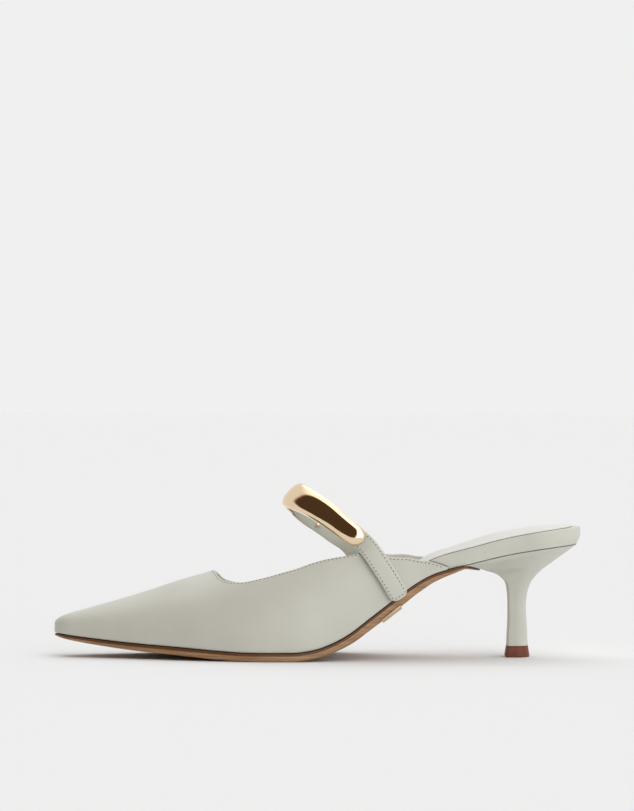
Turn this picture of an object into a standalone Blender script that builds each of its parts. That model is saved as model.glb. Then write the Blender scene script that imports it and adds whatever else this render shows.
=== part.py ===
"""Pointed toe mule, left shoe, with a kitten heel, an instep strap and a metal ornament.

Metres, +Z up. The toe points along -X, the lateral side is -Y and the medial side +Y.
The origin is the middle of the heel tip's flat underside, and the forepart's tread lies
on the same plane. Stations are shares of the shoe's length, counted from the toe.
"""
import math
from collections import namedtuple

import bmesh
import bpy
import numpy as np
from mathutils import Matrix, Vector

# Overall sizes
SHOE_LENGTH = 0.2630
HEEL_SETBACK = 0.0314
BALL_WIDTH = 0.0780
SEAT_WIDTH = 0.0540
TOE_LENGTH = 0.0090
TOE_DROP = 0.0036
TOE_SPRING = 0.0075
SEAT_RISE = 0.0525
VAMP_RISE = 0.0380
TOE_SWING = 0.0042
LAST_SWELL = 0.0015
SEAT_ROUND = 0.0270

# Walls, thicknesses and clearances
UPPER_WALL = 0.0016
FIT_GAP = 0.0003
OUTSOLE_THICKNESS = 0.0041
INSOLE_THICKNESS = 0.0020
RAND_HEIGHT = 0.0089
RAND_ROUND = 0.0006
RAND_TUCK = 0.0016
RAND_BELLY_SHARE = 0.55
SOCK_THICKNESS = 0.0008
SOCK_CROWN = 0.0021
SOCK_INSET = 0.0009
SOCK_HEEL_INSET = 0.0034
INSOLE_SETBACK = 0.0070
SOCK_SETBACK = 0.0120

# Steps of the outsole's side, from the feather line down
WELT_BAND = 0.0013
WELT_RECESS = 0.0004
EDGE_BEVEL = 0.0012
EDGE_BEVEL_HEIGHT = 0.0010
WELT_STEP = 0.0002
THIN_BAND_SHARE = 0.45

# Outsole tongue that runs on to the heel's front, and the power of its downward curl
TONGUE_LEAD = 0.0033
TONGUE_LENGTH = 0.0125
TONGUE_DROP = 0.0044
TONGUE_CURL = 1.25

# Heel and its tip
HEEL_SEAT_LENGTH = 0.0592
STEM_DEPTH = 0.0106
STEM_WIDTH = 0.0134
HEEL_TIP_HEIGHT = 0.0056
HEEL_TIP_FLARE = 0.0004

# Heel outlines, as shares of their length: round back, and the run of the front corners
LIP_ROUND_SHARE = 0.46
STEM_ROUND_SHARE = 0.55
CORNER_RUN_SHARE = 0.10
TIP_CORNER_SHARE = 0.90

# Strap, and its lateral tab's station as a share of the shoe's length
STRAP_TAB_SHARE = 0.6567
STRAP_WIDTH = 0.0098
STRAP_THICKNESS = 0.0020
STRAP_END_RADIUS = 0.0034
STRAP_LEAN = 0.0520
STRAP_HALF_SPAN = 0.0300
STRAP_RISE = 0.0488
STRAP_TAB_DROP = 0.0014
STRAP_CLEARANCE = 0.0009
STRAP_EDGE = 0.0006
STRAP_LEAST_RISE = 0.0020

# Metal shell on the strap and its studs
ORNAMENT_NEAR = 0.0535
ORNAMENT_FAR = 0.0330
ORNAMENT_WIDTH = 0.0144
ORNAMENT_BULGE = 0.0036
ORNAMENT_WALL = 0.0007
ORNAMENT_END = 0.0065
ORNAMENT_CLEARANCE = 0.0008
STUD_RADIUS = 0.0014
STUD_HEIGHT = 0.0008
STUD_INSET = 0.0055
STUD_DROP = 0.0014
STUD_TAPER = 0.80

# Fullness of the shell's round section, and how much of it is left at its very tips
ORNAMENT_FULLNESS = 2.3
ORNAMENT_TIP_SHARE = 0.02
ORNAMENT_CORE_SHARE = 0.30

# Plain plate on the outsole's bevel in the waist, its station a share of the length
PLATE_SHARE = 0.6380
PLATE_LENGTH = 0.0118
PLATE_WIDTH = 0.0026
PLATE_THICKNESS = 0.0009

# Fineness of the meshes
TOE_STEPS = 6
BODY_STEPS = 27
SEAT_STEPS = 8
GIRTH_STEPS = 11
STRAP_STEPS = 58
STRAP_PATH_STEPS = 480
STRAP_EASE_STEPS = 14
ORNAMENT_STEPS = 30
ORNAMENT_GIRTH = 12

# Lengths over which slopes and normals are read, and the closest two stations may come
SLOPE_REACH = 0.0020
NORMAL_REACH = 0.0008
STATION_SPACING = 0.0024
LAST_SPACING = 0.0010

# Plan of the feather line: widths as shares of half the ball width, swing of the
# centre line towards the medial side as a share of the toe's swing
Plan = namedtuple("Plan", "station width swing")
PLAN = (
    Plan(0.000, 0.130, 1.00),
    Plan(0.050, 0.277, 1.07),
    Plan(0.100, 0.418, 1.05),
    Plan(0.200, 0.682, 0.83),
    Plan(0.300, 0.892, 0.36),
    Plan(0.360, 0.970, 0.12),
    Plan(0.405, 1.000, 0.00),
    Plan(0.450, 0.995, -0.17),
    Plan(0.500, 0.945, -0.36),
    Plan(0.550, 0.862, -0.55),
    Plan(0.600, 0.772, -0.71),
    Plan(0.650, 0.700, -0.83),
    Plan(0.700, 0.657, -0.75),
)
PLAN_SEAT = (
    Plan(0.760, 0.965, -0.50),
    Plan(0.820, 0.985, -0.26),
    Plan(0.900, 1.000, 0.00),
    Plan(1.000, 1.000, 0.00),
)

# Side view of the feather line and of the sole and insole that follow it
Side = namedtuple("Side", "station toe seat sole insole")
SIDE = (
    Side(0.000, 1.000, 0.000, 0.30, 0.00),
    Side(0.020, 0.900, 0.000, 0.46, 0.00),
    Side(0.075, 0.690, 0.000, 0.64, 0.00),
    Side(0.150, 0.465, 0.000, 0.80, 0.00),
    Side(0.244, 0.265, 0.000, 0.92, 0.00),
    Side(0.320, 0.085, 0.000, 0.98, 0.00),
    Side(0.375, 0.000, 0.000, 1.00, 0.00),
    Side(0.455, 0.000, 0.000, 1.00, 0.00),
    Side(0.495, 0.000, 0.026, 0.98, 0.02),
    Side(0.525, 0.000, 0.077, 0.98, 0.06),
    Side(0.555, 0.000, 0.153, 1.02, 0.13),
    Side(0.600, 0.000, 0.320, 1.08, 0.30),
    Side(0.645, 0.000, 0.492, 1.12, 0.55),
    Side(0.690, 0.000, 0.653, 1.04, 0.76),
    Side(0.720, 0.000, 0.732, 0.88, 0.80),
    Side(0.750, 0.000, 0.778, 0.66, 0.82),
    Side(0.787, 0.000, 0.819, 0.32, 0.88),
    Side(0.850, 0.000, 0.895, 0.22, 0.93),
    Side(0.920, 0.000, 0.955, 0.22, 0.98),
    Side(1.000, 0.000, 1.000, 0.22, 1.00),
)

# Height of the last above the feather line, as a share of the rise at the throat.
# Behind the throat it goes on over the instep, which only the wings follow.
Last = namedtuple("Last", "station rise full skew")
LAST = (
    Last(0.000, 0.225, 2.50, 0.00),
    Last(0.021, 0.272, 2.40, 0.00),
    Last(0.087, 0.442, 2.20, 0.02),
    Last(0.183, 0.690, 2.08, 0.04),
    Last(0.240, 0.845, 2.04, 0.06),
    Last(0.302, 1.000, 2.00, 0.07),
    Last(0.347, 1.135, 2.00, 0.07),
    Last(0.400, 1.313, 2.00, 0.06),
    Last(0.450, 1.497, 2.00, 0.04),
    Last(0.530, 1.684, 2.00, 0.02),
    Last(0.600, 1.620, 2.00, 0.00),
    Last(0.680, 1.530, 2.00, 0.00),
    Last(0.760, 1.530, 2.00, 0.00),
)

# Top line, as a share of the quarter turn from the feather line to the ridge
Top = namedtuple("Top", "station lateral medial")
TOPLINE = (
    Top(0.3020, 1.000, 1.000),
    Top(0.3055, 0.900, 0.890),
    Top(0.3090, 0.829, 0.812),
    Top(0.3160, 0.712, 0.680),
    Top(0.3280, 0.633, 0.590),
    Top(0.3480, 0.576, 0.522),
    Top(0.3700, 0.548, 0.490),
    Top(0.3940, 0.532, 0.473),
    Top(0.4320, 0.511, 0.456),
    Top(0.4890, 0.494, 0.444),
    Top(0.5270, 0.461, 0.420),
    Top(0.5550, 0.431, 0.398),
    Top(0.5930, 0.378, 0.350),
    Top(0.6150, 0.315, 0.298),
    Top(0.6400, 0.241, 0.232),
    Top(0.6650, 0.186, 0.182),
    Top(0.6900, 0.122, 0.120),
    Top(0.7100, 0.081, 0.080),
    Top(0.7300, 0.040, 0.040),
    Top(0.7450, 0.012, 0.012),
)
THROAT_STATIONS = tuple(row.station for row in TOPLINE[:8])

# Pad of the sock under the heel, as a share of the sock's crown
Pad = namedtuple("Pad", "station crown")
SOCK_PAD = (
    Pad(0.660, 0.00),
    Pad(0.720, 0.12),
    Pad(0.760, 0.40),
    Pad(0.800, 0.82),
    Pad(0.840, 1.00),
    Pad(0.880, 0.86),
    Pad(0.920, 0.62),
    Pad(0.960, 0.38),
    Pad(1.000, 0.05),
)

# Heel rings under the tongue: distance behind the heel's front edge, and the back
# and the half width as shares of the way from the stem to the seat
Lip = namedtuple("Lip", "behind back back_height width")
HEEL_LIPS = (
    Lip(0.0033, 0.893, 0.978, 0.900),
    Lip(0.0064, 0.799, 0.942, 0.775),
    Lip(0.0096, 0.645, 0.885, 0.600),
)

# Heel rings below the tongue, all as shares of the way from the stem's foot to the seat
Ring = namedtuple("Ring", "front front_height back back_height width corner")
HEEL_RINGS = (
    Ring(0.455, 0.925, 0.520, 0.838, 0.480, 0.97),
    Ring(0.255, 0.885, 0.285, 0.748, 0.235, 0.94),
    Ring(0.110, 0.825, 0.155, 0.684, 0.120, 0.92),
    Ring(0.017, 0.752, 0.064, 0.625, 0.052, 0.90),
    Ring(-0.018, 0.637, -0.008, 0.524, 0.000, 0.90),
    Ring(-0.027, 0.485, -0.039, 0.392, -0.028, 0.90),
    Ring(-0.022, 0.280, -0.023, 0.228, -0.022, 0.90),
    Ring(-0.008, 0.110, -0.008, 0.088, -0.008, 0.90),
    Ring(0.000, 0.000, 0.000, 0.000, 0.000, 0.90),
)

# Strap's middle line: forward and up as shares of its lean and rise from the lateral
# tab, across as a share of its half span, and how far it lies on the upper
Step = namedtuple("Step", "forward across up held")
STRAP = (
    Step(0.000, -1.00, 0.000, 1.0),
    Step(0.056, -1.00, 0.099, 1.0),
    Step(0.108, -1.00, 0.193, 1.0),
    Step(0.201, -1.00, 0.348, 1.0),
    Step(0.287, -1.00, 0.482, 1.0),
    Step(0.377, -0.965, 0.582, 0.0),
    Step(0.479, -0.900, 0.661, 0.0),
    Step(0.571, -0.817, 0.736, 0.0),
    Step(0.663, -0.717, 0.812, 0.0),
    Step(0.755, -0.583, 0.879, 0.0),
    Step(0.849, -0.417, 0.939, 0.0),
    Step(0.942, -0.195, 0.988, 0.0),
    Step(1.000, 0.060, 1.000, 0.0),
    Step(0.967, 0.355, 0.926, 0.0),
    Step(0.865, 0.600, 0.796, 0.0),
    Step(0.721, 0.783, 0.685, 0.0),
    Step(0.596, 0.893, 0.586, 0.0),
    Step(0.452, 1.00, 0.467, 1.0),
    Step(0.338, 1.00, 0.235, 1.0),
    Step(0.252, 1.00, 0.041, 1.0),
    Step(0.218, 1.00, -0.051, 1.0),
    Step(0.186, 1.00, -0.133, 1.0),
)
STRAP_CREST = 12
StrapPath = namedtuple("StrapPath", "spots facings widths lengths crest")
STRAP_WIDTH_TILT = math.radians(47.0)

# Ornament from the lateral end to the medial end: place as a share of its length,
# width and bulge as shares of the named ones, and how far its rim wraps the strap
Shell = namedtuple("Shell", "place width bulge wrap")
ORNAMENT = (
    Shell(0.00, 0.72, 0.62, 0.00),
    Shell(0.08, 0.73, 0.74, 0.00),
    Shell(0.20, 0.78, 0.88, 0.00),
    Shell(0.32, 0.87, 0.97, 0.60),
    Shell(0.46, 0.92, 1.00, 1.00),
    Shell(0.60, 1.00, 1.00, 1.00),
    Shell(0.70, 0.90, 0.96, 0.80),
    Shell(0.80, 0.78, 0.88, 0.00),
    Shell(0.90, 0.72, 0.76, 0.00),
    Shell(1.00, 0.70, 0.62, 0.00),
)

SHELL_INSET = UPPER_WALL + FIT_GAP
OUTER_LENGTH = SHOE_LENGTH + SHELL_INSET
TOE_X = HEEL_SETBACK - SHOE_LENGTH
HEEL_FRONT = SHOE_LENGTH - HEEL_SEAT_LENGTH
TONGUE_START = HEEL_FRONT - TONGUE_LEAD
STRAP_TAB = STRAP_TAB_SHARE * SHOE_LENGTH
PLATE_STATION = PLATE_SHARE * SHOE_LENGTH


def curve(table, place, column):
    """Return a smooth function through a table's column that never overshoots its rows."""
    xs = np.array([getattr(row, place) for row in table])
    ys = np.array([getattr(row, column) for row in table])
    gaps = np.diff(xs)
    slopes = np.diff(ys) / gaps
    tangents = np.zeros(len(xs))
    tangents[0] = slopes[0]
    tangents[-1] = slopes[-1]
    for i in range(1, len(xs) - 1):
        before = slopes[i - 1]
        after = slopes[i]
        if before * after > 0.0:
            near = 2.0 * gaps[i] + gaps[i - 1]
            far = gaps[i] + 2.0 * gaps[i - 1]
            tangents[i] = (near + far) / (near / before + far / after)

    def value(x):
        x = min(max(x, xs[0]), xs[-1])
        i = min(int(np.searchsorted(xs, x, side="right")) - 1, len(gaps) - 1)
        u = (x - xs[i]) / gaps[i]
        start = (1.0 + 2.0 * u) * (1.0 - u) ** 2 * ys[i]
        end = u * u * (3.0 - 2.0 * u) * ys[i + 1]
        bend = u * (1.0 - u) * gaps[i] * ((1.0 - u) * tangents[i] - u * tangents[i + 1])
        return float(start + end + bend)

    return value


def quarter_round(share):
    """Height of a quarter circle, from 0 at its end to 1 where it meets the straight."""
    share = min(max(share, 0.0), 1.0)
    return math.sqrt(1.0 - (1.0 - share) ** 2)


def mix(start, end, share):
    return start + (end - start) * share


def plan_rows():
    """Forepart rows follow the ball width, and seat rows follow the seat width."""
    rows = []
    for row in PLAN:
        rows.append(Plan(row.station, row.width * BALL_WIDTH / 2.0, row.swing * TOE_SWING))
    for row in PLAN_SEAT:
        rows.append(Plan(row.station, row.width * SEAT_WIDTH / 2.0, row.swing * TOE_SWING))
    return rows


PLAN_ROWS = plan_rows()
width_at = curve(PLAN_ROWS, "station", "width")
swing_at = curve(PLAN_ROWS, "station", "swing")
toe_at = curve(SIDE, "station", "toe")
seat_at = curve(SIDE, "station", "seat")
sole_at = curve(SIDE, "station", "sole")
insole_at = curve(SIDE, "station", "insole")
rise_at = curve(LAST, "station", "rise")
full_at = curve(LAST, "station", "full")
skew_at = curve(LAST, "station", "skew")
top_lateral_at = curve(TOPLINE, "station", "lateral")
top_medial_at = curve(TOPLINE, "station", "medial")
LATERAL = -1.0
MEDIAL = 1.0


def half_width(distance):
    """Half the width of the feather line, a distance behind the toe, before its ends."""
    return width_at(distance / SHOE_LENGTH)


def swing(distance):
    return swing_at(distance / SHOE_LENGTH)


def feather_height(distance):
    """Height of the feather line, where the upper meets the outsole."""
    station = distance / SHOE_LENGTH
    return OUTSOLE_THICKNESS + TOE_SPRING * toe_at(station) + SEAT_RISE * seat_at(station)


def slope_stretch(distance):
    """Vertical depth of a layer that is one unit thick across the sole's slope."""
    climb = feather_height(distance + SLOPE_REACH) - feather_height(distance - SLOPE_REACH)
    return math.hypot(climb, 2.0 * SLOPE_REACH) / (2.0 * SLOPE_REACH)


def outsole_top(distance):
    """The outsole follows the feather line, and its tongue drops on to the heel's front."""
    run = TONGUE_LENGTH - TONGUE_LEAD
    share = max((distance - HEEL_FRONT) / run, 0.0)
    return feather_height(distance) - TONGUE_DROP * share ** TONGUE_CURL


def outsole_depth(distance):
    station = distance / SHOE_LENGTH
    return OUTSOLE_THICKNESS * sole_at(station) * slope_stretch(distance)


def outsole_bottom(distance):
    return outsole_top(distance) - outsole_depth(distance)


def insole_bottom(distance):
    return feather_height(distance) + FIT_GAP


def insole_top(distance):
    station = distance / SHOE_LENGTH
    depth = mix(INSOLE_THICKNESS, RAND_HEIGHT - FIT_GAP, insole_at(station))
    return insole_bottom(distance) + depth


def upper_point(distance, side, turn):
    """Outer surface of the upper: turn is 0 at the feather line and 1 at the ridge."""
    station = distance / SHOE_LENGTH
    tip = quarter_round(distance / TOE_LENGTH)
    width = half_width(distance) * tip
    middle = swing(distance)
    ridge = skew_at(station) * BALL_WIDTH / 2.0
    rise = VAMP_RISE * rise_at(station)
    round_off = TOE_DROP * (1.0 - tip)
    angle = turn * math.pi / 2.0
    power = 2.0 / full_at(station)
    across = math.cos(angle) ** power if turn < 1.0 else 0.0
    up = math.sin(angle) ** power if turn > 0.0 else 0.0
    swell = LAST_SWELL * math.sin(2.0 * angle) * tip
    reach = max(width - side * ridge * tip, 0.0)
    y = middle + ridge * tip + side * (reach * across + swell)
    base = feather_height(distance) + FIT_GAP
    z = base + (rise - round_off - FIT_GAP) * up
    return Vector((TOE_X + distance, y, z))


def upper_normal(distance, side, turn):
    """Outward normal of the upper's surface."""
    step = 0.01
    along = upper_point(distance + NORMAL_REACH, side, turn)
    along -= upper_point(distance - NORMAL_REACH, side, turn)
    around = upper_point(distance, side, turn + step) - upper_point(distance, side, turn - step)
    normal = along.cross(around).normalized()
    if normal.y * side < 0.0:
        normal.negate()
    return normal


def turn_at_height(distance, side, height):
    """Turn at which the upper's surface reaches a height, found by halving."""
    low = 0.02
    high = 0.98
    for _ in range(40):
        middle = (low + high) / 2.0
        if upper_point(distance, side, middle).z < height:
            low = middle
        else:
            high = middle
    return (low + high) / 2.0


def stations(start, end):
    """Distances behind the toe: close together at the round toe and at the round seat."""
    places = []
    for i in range(TOE_STEPS):
        share = 1.0 - math.cos(math.pi / 2.0 * i / TOE_STEPS)
        places.append(start + TOE_LENGTH * share)
    straight_end = min(end, OUTER_LENGTH) - SEAT_ROUND
    for i in range(BODY_STEPS):
        places.append(mix(start + TOE_LENGTH, straight_end, i / BODY_STEPS))
    for i in range(SEAT_STEPS + 1):
        share = math.sin(math.pi / 2.0 * i / SEAT_STEPS)
        places.append(straight_end + SEAT_ROUND * share)
    return places


def plan_loop(places, start, end, end_round, inset):
    """Lateral and medial points of a feather outline, moved in by an inset."""
    lateral = []
    medial = []
    for distance in places:
        ends = quarter_round((distance - start) / TOE_LENGTH)
        ends *= quarter_round((end - distance) / end_round)
        width = half_width(distance) * ends
        lateral.append((distance, swing(distance) - width))
        medial.append((distance, swing(distance) + width))
    loop = lateral + medial[-2:0:-1]
    count = len(loop)
    moved = []
    for i in range(count):
        before = loop[i - 1]
        after = loop[(i + 1) % count]
        run = after[0] - before[0]
        climb = after[1] - before[1]
        length = math.hypot(run, climb)
        moved.append((loop[i][0] - climb / length * inset, loop[i][1] + run / length * inset))
    last = len(places) - 1
    moved_lateral = moved[:last + 1]
    moved_medial = [moved[0]] + moved[:last:-1] + [moved[last]]
    return moved_lateral, moved_medial


def lift(pairs, height_of):
    """Give a plan outline its heights from a function of the distance behind the toe."""
    sides = []
    for side in pairs:
        sides.append([Vector((TOE_X + x, y, height_of(x))) for x, y in side])
    return sides


def narrow(pairs, share):
    """Draw a plan outline in towards the line midway between its two sides."""
    lateral, medial = pairs
    drawn_lateral = []
    drawn_medial = []
    for (x_l, y_l), (x_m, y_m) in zip(lateral, medial):
        middle = (y_l + y_m) / 2.0
        drawn_lateral.append((x_l, mix(middle, y_l, share)))
        drawn_medial.append((x_m, mix(middle, y_m, share)))
    return drawn_lateral, drawn_medial


def seat_tuck(pairs, tuck):
    """Draw an outline's round back in towards the heel's middle by a tuck."""
    drawn = []
    for side in pairs:
        row = []
        for x, y in side:
            share = max((x - HEEL_FRONT) / HEEL_SEAT_LENGTH, 0.0)
            row.append((x - tuck * share ** 2, y * (1.0 - tuck * share / SEAT_WIDTH)))
        drawn.append(row)
    return drawn


def new_material(name, color, roughness, metallic):
    material = bpy.data.materials.new(name)
    material.use_nodes = True
    shader = material.node_tree.nodes["Principled BSDF"]
    shader.inputs["Base Color"].default_value = (*color, 1.0)
    shader.inputs["Roughness"].default_value = roughness
    shader.inputs["Metallic"].default_value = metallic
    material.diffuse_color = (*color, 1.0)
    return material


def add_object(name, bm, material, parent, sharp_degrees):
    """Put a finished bmesh into the scene as one smooth-shaded object."""
    mesh = bpy.data.meshes.new(name)
    bm.to_mesh(mesh)
    bm.free()
    mesh.materials.append(material)
    mesh.shade_smooth()
    mesh.set_sharp_from_angle(angle=math.radians(sharp_degrees))
    obj = bpy.data.objects.new(name, mesh)
    bpy.context.scene.collection.objects.link(obj)
    obj.parent = parent
    return obj


def close_up(bm):
    """Merge the points where a loft's two sides meet and turn its faces outwards."""
    bmesh.ops.remove_doubles(bm, verts=bm.verts, dist=0.000005)
    bmesh.ops.triangulate(bm, faces=bm.faces)
    bmesh.ops.recalc_face_normals(bm, faces=bm.faces)
    if bm.calc_volume(signed=True) < 0.0:
        bmesh.ops.reverse_faces(bm, faces=bm.faces)


def add_face(bm, corners):
    """Add a face, leaving out corners that lie on one another."""
    kept = []
    for corner in corners:
        if all((corner.co - other.co).length > 0.000005 for other in kept):
            kept.append(corner)
    if len(kept) > 2:
        bm.faces.new(kept)


def loft_pairs(levels):
    """Skin a stack of outlines, each a lateral and a medial row, and cap both ends."""
    bm = bmesh.new()
    rows = []
    for lateral, medial in levels:
        rows.append([[bm.verts.new(p) for p in lateral], [bm.verts.new(p) for p in medial]])
    count = len(rows[0][0])
    for lower, upper in zip(rows, rows[1:]):
        for side in (0, 1):
            for i in range(count - 1):
                add_face(bm, (lower[side][i], lower[side][i + 1],
                              upper[side][i + 1], upper[side][i]))
        for i in (0, count - 1):
            add_face(bm, (lower[0][i], lower[1][i], upper[1][i], upper[0][i]))
    for level in (rows[0], rows[-1]):
        for i in range(count - 1):
            add_face(bm, (level[0][i], level[0][i + 1], level[1][i + 1], level[1][i]))
    close_up(bm)
    return bm


def build_upper(material, parent):
    """Hollow vamp and wings: the last's surface, given its wall inwards by Solidify."""
    tail = TOPLINE[-1].station * SHOE_LENGTH
    places = [d for d in stations(0.0, OUTER_LENGTH) if d < tail]
    throat = [share * SHOE_LENGTH for share in THROAT_STATIONS]
    places = [d for d in places if min(abs(d - other) for other in throat) > STATION_SPACING]
    places = [d for d in places if tail - d > LAST_SPACING]
    places = sorted(places + throat + [tail])
    bm = bmesh.new()
    for side, top_at in ((LATERAL, top_lateral_at), (MEDIAL, top_medial_at)):
        columns = []
        for distance in places:
            top = top_at(distance / SHOE_LENGTH)
            column = []
            for k in range(GIRTH_STEPS + 1):
                column.append(bm.verts.new(upper_point(distance, side, top * k / GIRTH_STEPS)))
            columns.append(column)
        for front, back in zip(columns, columns[1:]):
            for k in range(GIRTH_STEPS):
                corners = (front[k], back[k], back[k + 1], front[k + 1])
                add_face(bm, corners if side == LATERAL else corners[::-1])
    bmesh.ops.remove_doubles(bm, verts=bm.verts, dist=0.000005)
    obj = add_object("upper", bm, material, parent, 50.0)
    wall = obj.modifiers.new("wall", "SOLIDIFY")
    wall.thickness = UPPER_WALL
    wall.offset = -1.0
    wall.use_rim = True
    return obj


def build_outsole(material, parent):
    """Outsole with a recessed top band, a proud edge, a bevel and the thin tongue."""
    end = TONGUE_START + TONGUE_LENGTH
    places = [d for d in stations(0.0, OUTER_LENGTH) if d < TONGUE_START]
    places += [TONGUE_START + TONGUE_LENGTH * math.sin(math.pi / 2.0 * i / 7) for i in range(8)]

    def level(inset, share_of_band, below_band):
        outline = plan_loop(places, 0.0, end, TONGUE_LENGTH, inset)

        def height(distance):
            depth = outsole_depth(distance)
            band = min(WELT_BAND, depth * THIN_BAND_SHARE)
            return outsole_top(distance) - band * share_of_band - (depth - band) * below_band

        return lift(outline, height)

    side_height = OUTSOLE_THICKNESS - WELT_BAND
    bevel_from = 1.0 - EDGE_BEVEL_HEIGHT / side_height
    levels = [
        level(WELT_RECESS, 0.0, 0.0),
        level(WELT_RECESS, 1.0, 0.0),
        level(0.0, 1.0, WELT_STEP / side_height),
        level(0.0, 1.0, bevel_from),
        level(EDGE_BEVEL, 1.0, 1.0),
    ]
    return add_object("outsole", loft_pairs(levels), material, parent, 28.0)


def build_insole(material, parent):
    """Insole board inside the upper, which stands up as the wrapped rand at the seat."""
    places = stations(INSOLE_SETBACK, OUTER_LENGTH)

    def outline(inset):
        return plan_loop(places, INSOLE_SETBACK, OUTER_LENGTH, SEAT_ROUND, SHELL_INSET + inset)

    def belly(distance):
        return mix(insole_bottom(distance), insole_top(distance), RAND_BELLY_SHARE)

    levels = [
        lift(seat_tuck(outline(RAND_ROUND), RAND_TUCK), insole_bottom),
        lift(seat_tuck(outline(0.0), RAND_TUCK), lambda d: insole_bottom(d) + RAND_ROUND),
        lift(outline(0.0), belly),
        lift(outline(0.0), lambda d: insole_top(d) - RAND_ROUND),
        lift(outline(RAND_ROUND), insole_top),
    ]
    return add_object("insole", loft_pairs(levels), material, parent, 40.0)


def build_sock(material, parent):
    """Sock lining on the insole, thin in front and crowned by its pad under the heel."""
    crown_at = curve(SOCK_PAD, "station", "crown")
    end = OUTER_LENGTH - SOCK_HEEL_INSET
    places = stations(SOCK_SETBACK, end)
    outline = plan_loop(places, SOCK_SETBACK, end, SEAT_ROUND, SHELL_INSET + SOCK_INSET)
    levels = [lift(outline, lambda d: insole_top(d) + FIT_GAP)]
    for share in (1.0, 0.90, 0.70, 0.40):
        crown = 1.0 - share ** 2.6

        def height(distance, crown=crown):
            pad = SOCK_CROWN * crown_at(distance / SHOE_LENGTH) * crown
            return insole_top(distance) + FIT_GAP + SOCK_THICKNESS + pad

        levels.append(lift(narrow(outline, share), height))
    return add_object("sock", loft_pairs(levels), material, parent, 40.0)


def heel_ring(front, back, half, rear_round, corner, middle):
    """One U-shaped outline of the heel: a straight front edge and a round back."""
    shares = [0.0, CORNER_RUN_SHARE * 0.4, CORNER_RUN_SHARE]
    shares += [mix(CORNER_RUN_SHARE, 1.0 - rear_round, i / 5) for i in range(1, 6)]
    shares += [1.0 - rear_round * (1.0 - math.sin(math.pi / 2.0 * i / 8)) for i in range(1, 9)]
    lateral = []
    medial = []
    for share in shares:
        x = mix(front[0], back[0], share)
        z = mix(front[1], back[1], share)
        width = half(x) * quarter_round((1.0 - share) / rear_round)
        width *= mix(corner, 1.0, quarter_round(share / CORNER_RUN_SHARE))
        lateral.append(Vector((TOE_X + x, middle(x) - width, z)))
        medial.append(Vector((TOE_X + x, middle(x) + width, z)))
    return lateral, medial


def build_heel(material, parent):
    """Covered heel, drawn from the cupped seat down to a slim stem."""
    foot = HEEL_TIP_HEIGHT + FIT_GAP
    seat_back_height = feather_height(SHOE_LENGTH)
    seat_front_height = feather_height(HEEL_FRONT)
    stem_middle = SHOE_LENGTH - HEEL_SETBACK
    stem_front = stem_middle - STEM_DEPTH / 2.0
    stem_back = stem_middle + STEM_DEPTH / 2.0
    seat_half = SEAT_WIDTH / 2.0 - SHELL_INSET
    stem_half = STEM_WIDTH / 2.0
    rings = []

    def seat_half_at(distance):
        return half_width(distance) - SHELL_INSET

    top = heel_ring((HEEL_FRONT, 0.0), (SHOE_LENGTH, 0.0), seat_half_at,
                    (SEAT_ROUND - SHELL_INSET) / HEEL_SEAT_LENGTH, 1.0, swing)
    rows = [[(point.x - TOE_X, point.y) for point in side] for side in top]
    rings.append(lift(seat_tuck(rows, RAND_TUCK), feather_height))
    for row in HEEL_LIPS:
        x = HEEL_FRONT + row.behind
        front = (x, outsole_top(x) + FIT_GAP)
        back = (mix(stem_back, SHOE_LENGTH, row.back),
                mix(foot, seat_back_height, row.back_height))
        width = mix(stem_half, seat_half, row.width)
        rings.append(heel_ring(front, back, lambda d, w=width: w, LIP_ROUND_SHARE, 1.0,
                               lambda d, s=row.width: swing(d) * s))
    for row in HEEL_RINGS:
        front = (mix(stem_front, HEEL_FRONT, row.front),
                 mix(foot, seat_front_height, row.front_height))
        back = (mix(stem_back, SHOE_LENGTH, row.back),
                mix(foot, seat_back_height, row.back_height))
        width = mix(stem_half, seat_half, row.width)
        rings.append(heel_ring(front, back, lambda d, w=width: w, STEM_ROUND_SHARE, row.corner,
                               lambda d, s=row.width: swing(d) * max(s, 0.0)))
    return add_object("heel", loft_pairs(rings), material, parent, 40.0)


def build_heel_tip(material, parent):
    """D-shaped tip under the stem, whose underside is the shoe's origin."""
    stem_middle = SHOE_LENGTH - HEEL_SETBACK
    levels = []
    for height, flare in ((0.0, HEEL_TIP_FLARE), (HEEL_TIP_HEIGHT * 0.12, HEEL_TIP_FLARE * 2.0),
                          (HEEL_TIP_HEIGHT, 0.0)):
        half = STEM_WIDTH / 2.0 + flare
        reach = STEM_DEPTH / 2.0 + flare
        levels.append(heel_ring((stem_middle - reach, height), (stem_middle + reach, height),
                                lambda d, w=half: w, STEM_ROUND_SHARE, TIP_CORNER_SHARE,
                                lambda d: 0.0))
    return add_object("heel_tip", loft_pairs(levels), material, parent, 40.0)


def natural_spline(values):
    """Return a smooth curve with even bending through values at 0, 1, 2 and so on."""
    values = np.array(values)
    count = len(values)
    matrix = np.eye(count)
    right = np.zeros_like(values)
    for i in range(1, count - 1):
        matrix[i, i - 1:i + 2] = (1.0, 4.0, 1.0)
        right[i] = 6.0 * (values[i - 1] - 2.0 * values[i] + values[i + 1])
    bends = np.linalg.solve(matrix, right)

    def value(place):
        i = min(int(place), count - 2)
        u = place - i
        v = 1.0 - u
        straight = v * values[i] + u * values[i + 1]
        return straight + ((v ** 3 - v) * bends[i] + (u ** 3 - u) * bends[i + 1]) / 6.0

    return value


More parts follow.
